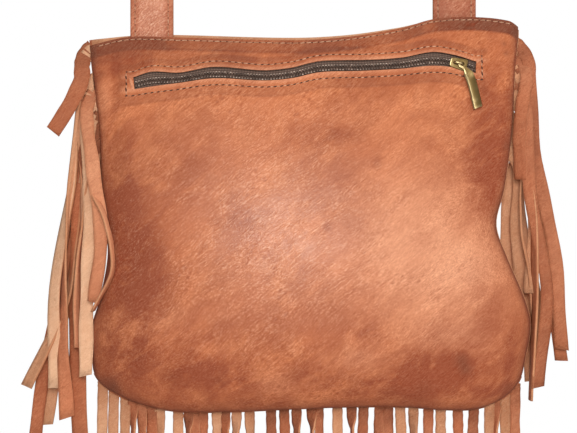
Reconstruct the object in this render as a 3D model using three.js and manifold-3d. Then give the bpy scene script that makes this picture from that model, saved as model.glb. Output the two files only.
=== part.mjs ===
// A soft leather shoulder bag: two pillowed panels, a zipped pocket, a stitched strap and long fringe.
import * as THREE from "three";
import { mergeVertices } from "three/addons/utils/BufferGeometryUtils.js";
import Module from "manifold-3d";

const wasm = await Module();
wasm.setup();

// Sizes are in millimetres. +Z is up, the zip looks along -Y, and the origin is under the strap's top.
// A drop is measured down from the hem line of the mouth.
const STRAP_DROP = 352;
const BODY_DROP = 275;
const WALL = 1.8;
const GAP = 0.4;
const SEAM_HALF = 1.1;
const LEFT_CORNER = { height: 35, start: 0.5 };
const RIGHT_CORNER = { height: 32, start: 0.72 };
const HEM = { height: 11, step: 1.5, thick: 3.2 };
const SIDE = { power: 2.6, round: 0.5 };
const DEPTH = { mouth: 11, near: 37, far: 31, full: 0.72, turn: 0.76, round: 2.2 };
const STRAP = { width: 32, thick: 3.4, centre: 111.4, sewn: 19, turnLow: 330, turnHigh: 150, lean: 3.5 };
const ZIP = { above: 8, below: 11, tape: 0.8, teethWide: 4.4, teethLow: 1.1, teethProud: 0.2 };
const SLIDER = { at: 113.5, long: 13, wide: 9.4, narrow: 7, thick: 1.4, lift: 0.6 };
const BAIL = { left: -3.6, pivot: 2.4, rod: 0.8, rise: 2.6, bar: 1.1, wide: 2 };
const PULL = { long: 34, wide: 6.4, neck: 3, thick: 1.3, eye: 3, hole: 1.5, lean: 33, bow: 2.2, twist: 24 };
const BAND = { inward: 5, outward: 0.6, thick: 1.6 };
const STRIP = { thick: 1.6, bottomLong: 178, bottomVary: 16, bottomWide: 7.6 };

// Side edges of both panels, a row for each height.
const OUTLINE = [
  { drop: 0, left: -158.5, right: 159 },
  { drop: 28, left: -155, right: 156.5 },
  { drop: 68, left: -150.5, right: 154.5 },
  { drop: 112, left: -149, right: 148.5 },
  { drop: 138, left: -145.5, right: 142.5 },
  { drop: 162, left: -144, right: 150.5 },
  { drop: 194, left: -150, right: 164 },
  { drop: 213, left: -155.5, right: 168 },
  { drop: 245, left: -155.5, right: 163 },
  { drop: 275, left: -155, right: 162 },
];

// The bottom seam between its rounded corners, a row for each wave.
const SEAM = [
  { across: -1, drop: 277 },
  { across: -0.4, drop: 276.7 },
  { across: 0.1, drop: 273.2 },
  { across: 0.45, drop: 273 },
  { across: 0.65, drop: 275 },
  { across: 1, drop: 275 },
];

// The sagging top edge of the mouth, a row for each rise or dip.
const MOUTH = [
  { at: -158.5, near: -6.2, far: -1.5 },
  { at: -128, near: -0.4, far: 1 },
  { at: -97, near: -0.9, far: 0.2 },
  { at: -8, near: -3.3, far: -2.2 },
  { at: 33, near: -0.7, far: 0 },
  { at: 72, near: 5.8, far: 6.2 },
  { at: 95, near: 12.3, far: 11.8 },
  { at: 124, near: 14.2, far: 13.4 },
  { at: 151, near: 12, far: 11.4 },
  { at: 159, near: 8, far: 7.5 },
];

// The wavy zip window, a row for each wave, with the drops of its two lips.
const WINDOW = [
  { at: -125, upper: 30.3, lower: 39.1 },
  { at: -111, upper: 26.1, lower: 37 },
  { at: -91, upper: 26.9, lower: 34.6 },
  { at: -65, upper: 22.8, lower: 31.3 },
  { at: -29, upper: 25.4, lower: 33 },
  { at: -8, upper: 23.3, lower: 31.2 },
  { at: 12.5, upper: 18.5, lower: 26.9 },
  { at: 43.7, upper: 17.8, lower: 25.9 },
  { at: 71.8, upper: 16, lower: 24.3 },
  { at: 94, upper: 11.8, lower: 22.1 },
  { at: 109.5, upper: 13.8, lower: 23.2 },
  { at: 126.5, upper: 18.6, lower: 27.2 },
];

// Soft dents of the near panel: where, how broad and how deep.
const DENTS = [
  { at: -142, drop: 70, wide: 9, tall: 60, deep: 2.2 },
  { at: -128, drop: 80, wide: 8, tall: 55, deep: -1.4 },
  { at: -133, drop: 158, wide: 24, tall: 40, deep: 3.5 },
  { at: 134, drop: 95, wide: 22, tall: 48, deep: 4.5 },
  { at: 122, drop: 152, wide: 20, tall: 30, deep: 3 },
  { at: 95, drop: 246, wide: 34, tall: 14, deep: 2.4 },
  { at: -105, drop: 252, wide: 26, tall: 12, deep: 2 },
  { at: 10, drop: 60, wide: 90, tall: 16, deep: 1.6 },
];

// Side strips, a row each: where it leaves the seam, how far out it stands at its knee, high, low and
// at its end, how far it falls, its place in depth at middle and end, its turn from the seam's plane
// at knee and end in degrees, and its width.
const STRIP_COLUMNS = [
  "root", "reach", "high", "low", "end", "fall", "layer", "back", "turn", "twist", "wide",
];
const named = (row) => Object.fromEntries(STRIP_COLUMNS.map((name, i) => [name, row[i]]));
const strips = (rows) => rows.map(named);
const LEFT_STRIPS = strips([
  [8, 5.6, 5.5, 14, 26, 62, -6, -9, 5, 12, 11.5],
  [10, 8, 13.5, 26, 26.5, 249, 3, 0, 95, 188, 9.6],
  [31, 8, 17.5, 23, 20, 250, 0, -1, 190, 372, 9.8],
  [49, 7.2, 4.5, 6.4, 7.4, 200, -6.5, -7.5, 170, 197, 9.6],
  [54, 6, 10, 15, 13.5, 175, -2.5, -2.5, 150, 48, 9],
  [39, 5.8, 0.5, -5.6, -0.5, 156, -9.2, -11.6, 15, -10, 9.8],
  [60, 10, 14.5, 16.5, 14, 249, 4.5, 5.5, 10, -14, 13],
  [68, 12, 17, 27, 54, 190, 7, 0, 80, 155, 9.6],
  [78, 14, 25, 42, 52, 238, 10, 8, 0, 25, 9.6],
  [88, 13, 22, 33, 42, 200, 13, 12, 180, 163, 9],
  [100, 4, -6.5, -11, 3.5, 101, -17.4, -16.4, 58, 78, 5],
]);
const RIGHT_STRIPS = strips([
  [5, 9, 13, 26.5, 32, 225, -2, -4, 15, 8, 9.8],
  [12, 7, 4, 1.5, 2.5, 93, -5, -4, 8, 30, 9.4],
  [18, 8, 10, 24, 34.5, 221, 3, 3, 20, 12, 9.6],
  [24, 8, 11, 14.5, 11, 165, 1, 2, 178, 215, 9.6],
  [34, 8, 11, 23, 16.5, 224, -6, -5, 20, -20, 9.6],
  [44, 8.8, -1, -0.5, 4, 202, 13, 31, 178, 196, 11.5],
  [60, 8, 15.5, 15.5, 13.5, 208, -3, -2, 60, 88, 9.2],
  [72, 9, 10, 19, 21, 178, 5, 4, 100, 170, 9.4],
  [84, 8, 7.5, 14.5, 19, 172, 11, 18, 170, 200, 9.4],
]);

// Bottom strips, a row each: where it hangs, and its turn from the seam's plane just below the seam.
const BOTTOM_STRIPS = [
  { at: -148, turn: 190 }, { at: -140, turn: 180 }, { at: -131.5, turn: 165 }, { at: -126, turn: 68 },
  { at: -119.5, turn: 40 }, { at: -112, turn: 15 }, { at: -106, turn: 220 }, { at: -92.5, turn: 180 },
  { at: -84.7, turn: 60 }, { at: -80, turn: 20 }, { at: -74, turn: -20 }, { at: -64, turn: 140 },
  { at: -57.7, turn: 50 }, { at: -49.2, turn: 235 }, { at: -39.6, turn: 140 }, { at: -23.7, turn: 0 },
  { at: -14, turn: 10 }, { at: -4.8, turn: 60 }, { at: 6.3, turn: 80 }, { at: 11.5, turn: -40 },
  { at: 25.5, turn: 180 }, { at: 36, turn: 80 }, { at: 44.8, turn: 5 }, { at: 56.6, turn: 30 },
  { at: 63, turn: -25 }, { at: 72, turn: 200 }, { at: 81.8, turn: 235 }, { at: 92.9, turn: 0 },
  { at: 102, turn: 180 }, { at: 114.7, turn: 0 }, { at: 126.5, turn: -8 }, { at: 138, turn: 195 },
  { at: 142.5, turn: 75 }, { at: 149.5, turn: 180 }, { at: 157, turn: 10 },
];

const LEATHER = { color: 0xb8734f, roughness: 0.55, metalness: 0 };
const FRINGE = { color: 0xa9684a, roughness: 0.7, metalness: 0 };
const TAPE = { color: 0x4a3128, roughness: 0.9, metalness: 0 };
const TEETH = { color: 0x37251e, roughness: 0.5, metalness: 0 };
const BRASS = { color: 0x8c6a3f, roughness: 0.4, metalness: 1 };

const RAD = Math.PI / 180;
const clamp = THREE.MathUtils.clamp;
const mix = THREE.MathUtils.lerp;
const smooth = THREE.MathUtils.smoothstep;

// A smooth curve through one column of a table, read against another column.
function column(rows, by, key) {
  const slope = rows.map((row, i) => {
    const before = rows[Math.max(i - 1, 0)];
    const after = rows[Math.min(i + 1, rows.length - 1)];
    return (after[key] - before[key]) / (after[by] - before[by]);
  });
  return (wanted) => {
    const at = clamp(wanted, rows[0][by], rows[rows.length - 1][by]);
    const i = Math.max(1, rows.findIndex((row) => row[by] >= at));
    const span = rows[i][by] - rows[i - 1][by];
    const s = (at - rows[i - 1][by]) / span;
    const rise = s * s * (3 - 2 * s);
    const bend = span * s * (1 - s) * (slope[i - 1] * (1 - s) - slope[i] * s);
    return mix(rows[i - 1][key], rows[i][key], rise) + bend;
  };
}

const leftEdge = column(OUTLINE, "drop", "left");
const rightEdge = column(OUTLINE, "drop", "right");
const nearMouth = column(MOUTH, "at", "near");
const farMouth = column(MOUTH, "at", "far");
const upperLip = column(WINDOW, "at", "upper");
const lowerLip = column(WINDOW, "at", "lower");
const seamLine = column(SEAM, "across", "drop");

// Where a share across (-1 left to 1 right) lies in X at one drop, and the reverse.
const acrossToX = (u, drop) => mix(leftEdge(drop), rightEdge(drop), (u + 1) / 2);
const xToAcross = (x, drop) => (2 * (x - leftEdge(drop))) / (rightEdge(drop) - leftEdge(drop)) - 1;

const near = { face: -1, deep: DEPTH.near, dents: DENTS, top: (u) => -nearMouth(acrossToX(u, 0)) };
const far = { face: 1, deep: DEPTH.far, dents: [], top: (u) => -farMouth(acrossToX(u, 0)) };

// The bottom seam's drop, waved in the middle and rounded up at both corners.
function seamDrop(u) {
  const corner = u < 0 ? LEFT_CORNER : RIGHT_CORNER;
  const s = clamp((Math.abs(u) - corner.start) / (1 - corner.start), 0, 1);
  return seamLine(u) - corner.height * (1 - Math.sqrt(1 - s * s));
}

// A point on a panel's outer skin at a share across and a drop.
function skin(panel, u, drop) {
  const x = acrossToX(u, drop);
  const t = clamp((drop - panel.top(u)) / (seamDrop(u) - panel.top(u)), 0, 1);
  const turn = clamp((t - DEPTH.turn) / (1 - DEPTH.turn), 0, 1);
  const across = (1 - Math.abs(u) ** SIDE.power) ** SIDE.round;
  const down = Math.sqrt(1 - turn ** DEPTH.round);
  const swell = DEPTH.mouth + (panel.deep - DEPTH.mouth) * smooth(t, 0, DEPTH.full);
  let deep = swell * across * down;
  for (const dent of panel.dents) {
    const fade = Math.exp(-(((x - dent.at) / dent.wide) ** 2) - ((drop - dent.drop) / dent.tall) ** 2);
    deep -= dent.deep * fade * across * down;
  }
  return new THREE.Vector3(x, panel.face * (SEAM_HALF + deep), -STRAP_DROP - drop);
}

// The outward direction of a panel's skin. On the seam it lies in the seam's plane.
function outward(panel, u, drop) {
  const step = 0.004;
  const a = clamp(u, -1 + 2 * step, 1 - 2 * step);
  const low = panel.top(a) + 0.5;
  const d = clamp(drop, low, seamDrop(a) - 0.8);
  const du = skin(panel, a + step, d).sub(skin(panel, a - step, d));
  const dd = skin(panel, a, d + 0.4).sub(skin(panel, a, d - 0.4));
  const out = du.cross(dd).normalize();
  if (out.y * panel.face < 0) out.negate();
  const onSeam = Math.abs(u) > 0.9999 || drop > seamDrop(u) - 0.01;
  if (onSeam) out.setY(0).normalize();
  return out;
}

// Closes a triangle list into a geometry that faces out.
function closed(points, faces) {
  const flat = points.flatMap((p) => [p.x, p.y, p.z]);
  let volume = 0;
  for (const [a, b, c] of faces) {
    volume += points[a].dot(points[b].clone().cross(points[c]));
  }
  const order = volume < 0 ? faces.map(([a, b, c]) => [a, c, b]) : faces;
  const geometry = new THREE.BufferGeometry();
  geometry.setAttribute("position", new THREE.Float32BufferAttribute(flat, 3));
  geometry.setIndex(order.flat());
  return geometry;
}

// A wall between an outer and an inner skin over columns and rows, closed round every open edge.
function wall(outer, inner, keep) {
  const columns = outer.length - 1;
  const rows = outer[0].length - 1;
  const points = [];
  const index = (i, j, side) => 2 * (i * (rows + 1) + j) + side;
  for (let i = 0; i <= columns; i += 1) {
    for (let j = 0; j <= rows; j += 1) points.push(outer[i][j], inner[i][j]);
  }
  const held = (i, j) => i >= 0 && j >= 0 && i < columns && j < rows && keep(i, j);
  const faces = [];
  const quad = (a, b, c, d) => faces.push([a, b, c], [a, c, d]);
  for (let i = 0; i < columns; i += 1) {
    for (let j = 0; j < rows; j += 1) {
      if (!held(i, j)) continue;
      quad(index(i, j, 0), index(i + 1, j, 0), index(i + 1, j + 1, 0), index(i, j + 1, 0));
      quad(index(i, j, 1), index(i, j + 1, 1), index(i + 1, j + 1, 1), index(i + 1, j, 1));
      const edges = [
        [i, j - 1, i, j, i + 1, j],
        [i + 1, j, i + 1, j, i + 1, j + 1],
        [i, j + 1, i + 1, j + 1, i, j + 1],
        [i - 1, j, i, j + 1, i, j],
      ];
      for (const [ni, nj, ai, aj, bi, bj] of edges) {
        if (held(ni, nj)) continue;
        quad(index(ai, aj, 0), index(ai, aj, 1), index(bi, bj, 1), index(bi, bj, 0));
      }
    }
  }
  return closed(points, faces);
}

// A solid through a run of convex rings, capped at both ends.
function loft(rings) {
  const count = rings[0].length;
  const points = rings.flat();
  const faces = [];
  for (let k = 0; k + 1 < rings.length; k += 1) {
    for (let m = 0; m < count; m += 1) {
      const a = k * count + m;
      const b = k * count + ((m + 1) % count);
      // The two broad faces split along the same diagonal, so a twisted strip keeps its thickness.
      if (m < count / 2) faces.push([a, b, b + count], [a, b + count, a + count]);
      else faces.push([a, b, a + count], [b, b + count, a + count]);
    }
  }
  const last = (rings.length - 1) * count;
  for (let m = 1; m + 1 < count; m += 1) {
    faces.push([0, m + 1, m], [last, last + m, last + m + 1]);
  }
  return closed(points, faces);
}

// The four corners of a flat section: its middle, its width direction and its face direction.
function section(middle, along, facing, wide, thick) {
  const corners = [[-1, -1], [1, -1], [1, 1], [-1, 1]];
  return corners.map(([a, b]) =>
    middle.clone().addScaledVector(along, (a * wide) / 2).addScaledVector(facing, (b * thick) / 2),
  );
}

function solid(geometry) {
  const bare = geometry.clone();
  bare.deleteAttribute("normal");
  bare.deleteAttribute("uv");
  const welded = mergeVertices(bare, 1e-5);
  const vertProperties = new Float32Array(welded.attributes.position.array);
  const triVerts = new Uint32Array(welded.index.array);
  return new wasm.Manifold(new wasm.Mesh({ numProp: 3, vertProperties, triVerts }));
}

function geometryOf(body) {
  const mesh = body.getMesh();
  const geometry = new THREE.BufferGeometry();
  geometry.setAttribute("position", new THREE.BufferAttribute(new Float32Array(mesh.vertProperties), 3));
  geometry.setIndex(new THREE.BufferAttribute(new Uint32Array(mesh.triVerts), 1));
  return geometry;
}

// Joins shapes into one body, drops slivers and fills the pinholes left where strips cross.
const FINEST = 0.02;
function fuse(geometries) {
  const whole = geometries.map(solid).reduce((sum, next) => sum.add(next));
  const shells = whole.simplify(FINEST).decompose();
  return geometryOf(shells.reduce((most, next) => (next.volume() > most.volume() ? next : most)));
}

// The two panels
const windowAcross = (x) => xToAcross(x, 25);
const windowFrom = windowAcross(WINDOW[0].at);
const windowTo = windowAcross(WINDOW[WINDOW.length - 1].at);

function spread(from, to, cells) {
  const list = [];
  for (let i = 0; i < cells; i += 1) list.push(mix(from, to, i / cells));
  return list;
}

const sideCells = 5;
const windowCells = 18;
const nearAngles = [
  ...spread(-90, Math.asin(windowFrom) / RAD, sideCells),
  ...spread(Math.asin(windowFrom) / RAD, Math.asin(windowTo) / RAD, windowCells),
  ...spread(Math.asin(windowTo) / RAD, 90, sideCells),
  90,
];
const nearColumns = nearAngles.map((angle) => Math.sin(angle * RAD));

// Drops of the near panel's rows in one column: hem, window lips, then evenly eased to the seam.
const lowerRows = 14;
function nearRows(u) {
  const x = acrossToX(u, 25);
  const top = near.top(u);
  const hemEnd = top + HEM.height;
  const upper = Math.max(upperLip(x), hemEnd + 4);
  const lower = lowerLip(x);
  const rows = [top, hemEnd, hemEnd + HEM.step, mix(hemEnd + HEM.step, upper, 0.5), upper, lower];
  for (let j = 1; j <= lowerRows; j += 1) {
    const s = j / lowerRows;
    rows.push(mix(lower, seamDrop(u), 1 - (1 - s) ** 1.5));
  }
  return rows;
}

function panelWall(panel, columns, rowsAt, hemRows, keep) {
  const outer = [];
  const inner = [];
  for (const u of columns) {
    const drops = rowsAt(u);
    outer.push(drops.map((drop) => skin(panel, u, drop)));
    inner.push(
      drops.map((drop, j) => {
        const thick = j < hemRows ? HEM.thick : WALL;
        const point = skin(panel, u, drop).addScaledVector(outward(panel, u, drop), -thick);
        return point.setY(panel.face * Math.max(panel.face * point.y, SEAM_HALF));
      }),
    );
  }
  return wall(outer, inner, keep);
}

const windowRow = 4;
const inWindow = (i, j) => j === windowRow && i >= sideCells && i < sideCells + windowCells;
const zipPanel = panelWall(near, nearColumns, nearRows, 2, (i, j) => !inWindow(i, j));

const farCells = 20;
const farRowCells = 13;
const farColumns = [...spread(-90, 90, farCells), 90].map((angle) => Math.sin(angle * RAD));
function farRows(u) {
  const top = far.top(u);
  const rows = [top, top + HEM.height];
  for (let j = 0; j <= farRowCells; j += 1) {
    const s = j / farRowCells;
    rows.push(mix(top + HEM.height + HEM.step, seamDrop(u), 1 - (1 - s) ** 1.4));
  }
  return rows;
}
const plainPanel = panelWall(far, farColumns, farRows, 2, () => true);

// The zip: tape behind the window and closed teeth standing in it
const windowMiddle = (x) => (upperLip(x) + lowerLip(x)) / 2;

// A place on the near panel at an X and a drop, sunk below its outer skin.
function sunk(x, drop, depth) {
  const u = xToAcross(x, drop);
  return skin(near, u, drop).addScaledVector(outward(near, u, drop), -depth);
}

const zipFrom = WINDOW[0].at - 6;
const zipTo = WINDOW[WINDOW.length - 1].at + 4;
const zipSteps = 28;
const tapeRings = [];
const teethRings = [];
for (let k = 0; k <= zipSteps; k += 1) {
  const x = mix(zipFrom, zipTo, k / zipSteps);
  const middle = windowMiddle(x);
  const top = middle - ZIP.above;
  const end = middle + ZIP.below;
  const front = WALL + GAP;
  const back = front + ZIP.tape;
  tapeRings.push([
    sunk(x, top, front), sunk(x, middle, front), sunk(x, end, front),
    sunk(x, end, back), sunk(x, middle, back), sunk(x, top, back),
  ]);
}
const teethFrom = WINDOW[0].at + 3;
const teethTo = WINDOW[WINDOW.length - 1].at - 3;
for (let k = 0; k <= zipSteps; k += 1) {
  const x = mix(teethFrom, teethTo, k / zipSteps);
  const middle = windowMiddle(x) + ZIP.teethLow;
  const half = ZIP.teethWide / 2;
  const base = WALL + GAP - 0.3;
  teethRings.push([
    sunk(x, middle - half, base), sunk(x, middle + half, base),
    sunk(x, middle + half * 0.7, -ZIP.teethProud), sunk(x, middle - half * 0.7, -ZIP.teethProud),
  ]);
}
const zipTape = loft(tapeRings);
const zipTeeth = loft(teethRings);

// The strap: up from inside the hem, a quarter turn on each side, and a half round arch on top
const strapRings = [];
const archRadius = STRAP.centre;
const archHeight = -(archRadius - STRAP.thick / 2);
const sewnY = skin(near, xToAcross(-STRAP.centre, 8), 8).y + HEM.thick + GAP + 0.5 + STRAP.thick / 2;
function strapLeg(side) {
  const rings = [];
  const foot = -STRAP_DROP + nearMouth(side * STRAP.centre) - STRAP.sewn;
  const steps = 16;
  for (let k = 0; k < steps; k += 1) {
    const z = mix(foot, archHeight, k / steps);
    const turned = smooth(z, -STRAP.turnLow, -STRAP.turnHigh);
    const angle = mix(-STRAP.lean, 90, turned) * RAD;
    const facing = new THREE.Vector3(-side * Math.sin(angle), -Math.cos(angle), 0);
    const along = new THREE.Vector3(Math.cos(angle), -side * Math.sin(angle), 0);
    const y = mix(sewnY, 0, smooth(z, -STRAP.turnLow, -STRAP.turnHigh));
    const middle = new THREE.Vector3(side * STRAP.centre, y, z);
    rings.push(section(middle, along, facing, STRAP.width, STRAP.thick));
  }
  return rings;
}
const archSteps = 20;
const archRings = [];
for (let k = 0; k <= archSteps; k += 1) {
  const angle = mix(180, 0, k / archSteps) * RAD;
  const out = new THREE.Vector3(Math.cos(angle), 0, Math.sin(angle));
  const middle = new THREE.Vector3(0, 0, archHeight).addScaledVector(out, archRadius);
  const facing = out.clone().negate();
  archRings.push(section(middle, new THREE.Vector3(0, 1, 0), facing, STRAP.width, STRAP.thick));
}
const leftLeg = strapLeg(-1);
const rightLeg = strapLeg(1).reverse();
// The left leg's width runs toward +Y at its top and the right leg's runs the other way.
const turnedRing = (ring) => [ring[1], ring[0], ring[3], ring[2]];
strapRings.push(...leftLeg, ...archRings, ...rightLeg.map(turnedRing));
const strap = loft(strapRings);

// The fringe: strips fused to a band that is held in the seam
const seamPoint = (u, drop, y = 0) => new THREE.Vector3(acrossToX(u, drop), y, -STRAP_DROP - drop);

function bandRing(point, out) {
  const middle = point.clone().addScaledVector(out, (BAND.outward - BAND.inward) / 2);
  return section(middle, out, new THREE.Vector3(0, -1, 0), BAND.inward + BAND.outward, BAND.thick);
}

// A strip swept along a path, turning about its own length by the angles given for each station.
function ribbon(path, stations, wide) {
  const rings = stations.map(({ at, angle }) => {
    const middle = path.getPoint(at);
    const tangent = path.getTangent(at);
    const flat = new THREE.Vector3(0, -1, 0);
    flat.addScaledVector(tangent, -flat.dot(tangent)).normalize();
    const facing = flat.applyAxisAngle(tangent, angle * RAD);
    const along = tangent.clone().cross(facing).normalize();
    return section(middle, along, facing, wide, STRIP.thick);
  });
  return loft(rings);
}

function sideStrip(side, row) {
  const seamX = side < 0 ? leftEdge(row.root) : rightEdge(row.root);
  const place = (out, down, y) => new THREE.Vector3(seamX + side * out, y, -STRAP_DROP - row.root - down);
  const knee = Math.min(1.6 * row.reach + 8, 0.2 * row.fall);
  const path = new THREE.CatmullRomCurve3([
    place(-2, -1.5, 0),
    place(1.5, 1.5, 0),
    place(0.85 * row.reach, 0.45 * knee + 1, row.layer * 0.05),
    place(row.reach, knee, row.layer * 0.5),
    place(row.high, 0.37 * row.fall, row.layer),
    place(row.low, 0.68 * row.fall, (row.layer + row.back) / 2),
    place(row.end, row.fall, row.back),
  ]);
  const rest = Math.round(row.turn / 180) * 180;
  const stations = [0, 0.17, 0.32, 0.45, 0.6, 0.73, 0.86, 1].map((at) => {
    const early = smooth(at, 0.32, 0.6);
    const late = clamp((at - 0.5) / 0.5, 0, 1);
    const angle = mix(mix(rest, row.turn, early), row.twist, late);
    return { at, angle: angle * side };
  });
  return ribbon(path, stations, row.wide);
}

// A repeatable spread of values between 0 and 1 for the strips' small differences.
function vary(i, kind) {
  const s = Math.sin(i * 12.9898 + kind * 78.233) * 43758.5453;
  return s - Math.floor(s);
}

function bottomStrip(row, i) {
  const u = xToAcross(row.at, 262);
  const drop = seamDrop(u);
  const fall = STRIP.bottomLong + STRIP.bottomVary * (vary(i, 1) - 0.5);
  const sway = 12 * (vary(i, 2) - 0.5);
  const depth = 18 * (vary(i, 3) - 0.5);
  const x = acrossToX(u, drop);
  const place = (aside, down, y) => new THREE.Vector3(x + aside, y, -STRAP_DROP - drop - down);
  const lift = BODY_DROP - drop;
  const path = new THREE.CatmullRomCurve3([
    place(0, -2.5, 0),
    place(0, 2.2, 0),
    place(0.1 * sway, 15 + lift, 0.2 * depth),
    place(0.5 * sway, lift + 0.5 * fall, depth * 0.7),
    place(sway, lift + fall, depth),
  ]);
  const rest = Math.round(row.turn / 180) * 180;
  const end = row.turn + 80 * (vary(i, 4) - 0.5);
  const stations = [0, 0.25, 0.5, 0.75, 1].map((at) => {
    const early = clamp((at - 0.25) / 0.25, 0, 1);
    const late = clamp((at - 0.5) / 0.5, 0, 1);
    return { at, angle: mix(mix(rest, row.turn, early), end, late) };
  });
  return ribbon(path, stations, STRIP.bottomWide);
}

const sideBandEnd = 236;
const sideBandCells = 12;
function sideBand(side) {
  const from = Math.max(near.top(side), far.top(side)) + 1.5;
  const rings = [];
  for (let k = 0; k <= sideBandCells; k += 1) {
    const drop = mix(from, sideBandEnd, k / sideBandCells);
    rings.push(bandRing(seamPoint(side, drop), new THREE.Vector3(side, 0, 0)));
  }
  return loft(rings);
}

const bottomBandCells = 28;
const bottomRings = [];
for (let k = 0; k <= bottomBandCells; k += 1) {
  const u = Math.sin(mix(-83, 83, k / bottomBandCells) * RAD);
  const before = seamPoint(u - 0.002, seamDrop(u - 0.002));
  const after = seamPoint(u + 0.002, seamDrop(u + 0.002));
  const run = after.sub(before).normalize();
  bottomRings.push(bandRing(seamPoint(u, seamDrop(u)), new THREE.Vector3(run.z, 0, -run.x)));
}

const fringeLeft = fuse([sideBand(-1), ...LEFT_STRIPS.map((row) => sideStrip(-1, row))]);
const fringeRight = fuse([sideBand(1), ...RIGHT_STRIPS.map((row) => sideStrip(1, row))]);
const fringeBottom = fuse([loft(bottomRings), ...BOTTOM_STRIPS.map(bottomStrip)]);

// The slider on the teeth, with the bail that the pull's eye hangs on
const sliderX = SLIDER.at;
const sliderDrop = windowMiddle(sliderX) + ZIP.teethLow;
const sliderFace = outward(near, xToAcross(sliderX, sliderDrop), sliderDrop);
const sliderRun = sunk(sliderX + 2, windowMiddle(sliderX + 2), 0)
  .sub(sunk(sliderX - 2, windowMiddle(sliderX - 2), 0))
  .normalize();
const sliderUp = sliderFace.clone().cross(sliderRun).normalize();
const sliderAlong = sliderUp.clone().cross(sliderFace).normalize();
const sliderSpot = sunk(sliderX, sliderDrop, -SLIDER.lift);
const sliderPose = new THREE.Matrix4().makeBasis(sliderAlong, sliderUp, sliderFace);
const sliderFrame = new THREE.Group();
sliderFrame.applyMatrix4(sliderPose.setPosition(sliderSpot));

const platePlan = new THREE.Shape();
platePlan.moveTo(-SLIDER.long / 2, -SLIDER.narrow / 2);
platePlan.lineTo(SLIDER.long / 2 - 2, -SLIDER.wide / 2);
platePlan.quadraticCurveTo(SLIDER.long / 2, -SLIDER.wide / 2, SLIDER.long / 2, -SLIDER.wide / 2 + 2);
platePlan.lineTo(SLIDER.long / 2, SLIDER.wide / 2 - 2);
platePlan.quadraticCurveTo(SLIDER.long / 2, SLIDER.wide / 2, SLIDER.long / 2 - 2, SLIDER.wide / 2);
platePlan.lineTo(-SLIDER.long / 2, SLIDER.narrow / 2);
const plate = new THREE.ExtrudeGeometry(platePlan, {
  depth: SLIDER.thick - 0.5,
  bevelThickness: 0.25,
  bevelSize: 0.3,
  bevelOffset: -0.3,
  bevelSegments: 1,
  curveSegments: 4,
}).translate(0, 0, 0.25);
const postTop = SLIDER.thick + BAIL.rise;
const post = (x) =>
  new THREE.CylinderGeometry(BAIL.rod, BAIL.rod, BAIL.rise + 1, 12)
    .rotateX(Math.PI / 2)
    .translate(x, 0, SLIDER.thick + BAIL.rise / 2);
const bailLong = BAIL.pivot - BAIL.left + 2 * BAIL.rod + 0.6;
const bailBar = new THREE.BoxGeometry(bailLong, BAIL.wide, BAIL.bar);
bailBar.translate((BAIL.pivot + BAIL.left) / 2, 0, postTop + BAIL.bar / 2 - 0.2);
const zipSlider = fuse([plate, post(BAIL.left), post(BAIL.pivot), bailBar]);

// The pull: an eye round the bail's post, a neck and a bowed blade with a quarter of a twist
const eyeLift = 0.6;
const eyePlan = new THREE.Shape();
eyePlan.absarc(0, 0, PULL.eye, 0, 2 * Math.PI);
const eyeHole = new THREE.Path();
eyeHole.absarc(0, 0, PULL.hole, 0, 2 * Math.PI, true);
eyePlan.holes.push(eyeHole);
const eyeLook = { depth: PULL.thick, bevelEnabled: false, curveSegments: 10 };
const eye = new THREE.ExtrudeGeometry(eyePlan, eyeLook);
const bladeRings = [];
for (let k = 0; k <= 12; k += 1) {
  const s = k / 12;
  const down = mix(PULL.eye - 0.7, PULL.long, s);
  const wide = mix(PULL.neck, PULL.wide, smooth(down, 3.4, 8.5));
  const aside = PULL.bow * Math.sin(Math.PI * s ** 0.55);
  const turn = PULL.twist * RAD * smooth(down, 5, 14);
  const along = new THREE.Vector3(Math.cos(turn), 0, Math.sin(turn));
  const facing = new THREE.Vector3(-Math.sin(turn), 0, Math.cos(turn));
  const middle = new THREE.Vector3(aside, -down, PULL.thick / 2);
  bladeRings.push(section(middle, along, facing, wide, PULL.thick));
}
const zipPull = fuse([eye, loft(bladeRings)]);

// Assembly
const bag = new THREE.Group();
function piece(name, geometry, look, parent = bag) {
  const mesh = new THREE.Mesh(geometry, new THREE.MeshStandardMaterial(look));
  mesh.name = name;
  parent.add(mesh);
  return mesh;
}
piece("zip_panel", zipPanel, LEATHER);
piece("plain_panel", plainPanel, LEATHER);
piece("strap", strap, LEATHER);
piece("zip_tape", zipTape, TAPE);
piece("zip_teeth", zipTeeth, TEETH);
piece("fringe_left", fringeLeft, FRINGE);
piece("fringe_right", fringeRight, FRINGE);
piece("fringe_bottom", fringeBottom, FRINGE);
bag.add(sliderFrame);
piece("zip_slider", zipSlider, BRASS, sliderFrame);
const pullFrame = new THREE.Group();
pullFrame.position.set(BAIL.pivot, 0, SLIDER.thick + eyeLift);
pullFrame.rotation.z = PULL.lean * RAD;
sliderFrame.add(pullFrame);
piece("zip_pull", zipPull, BRASS, pullFrame);

export default bag;
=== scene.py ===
import bpy, bmesh, math
from mathutils import Matrix, Vector


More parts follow.
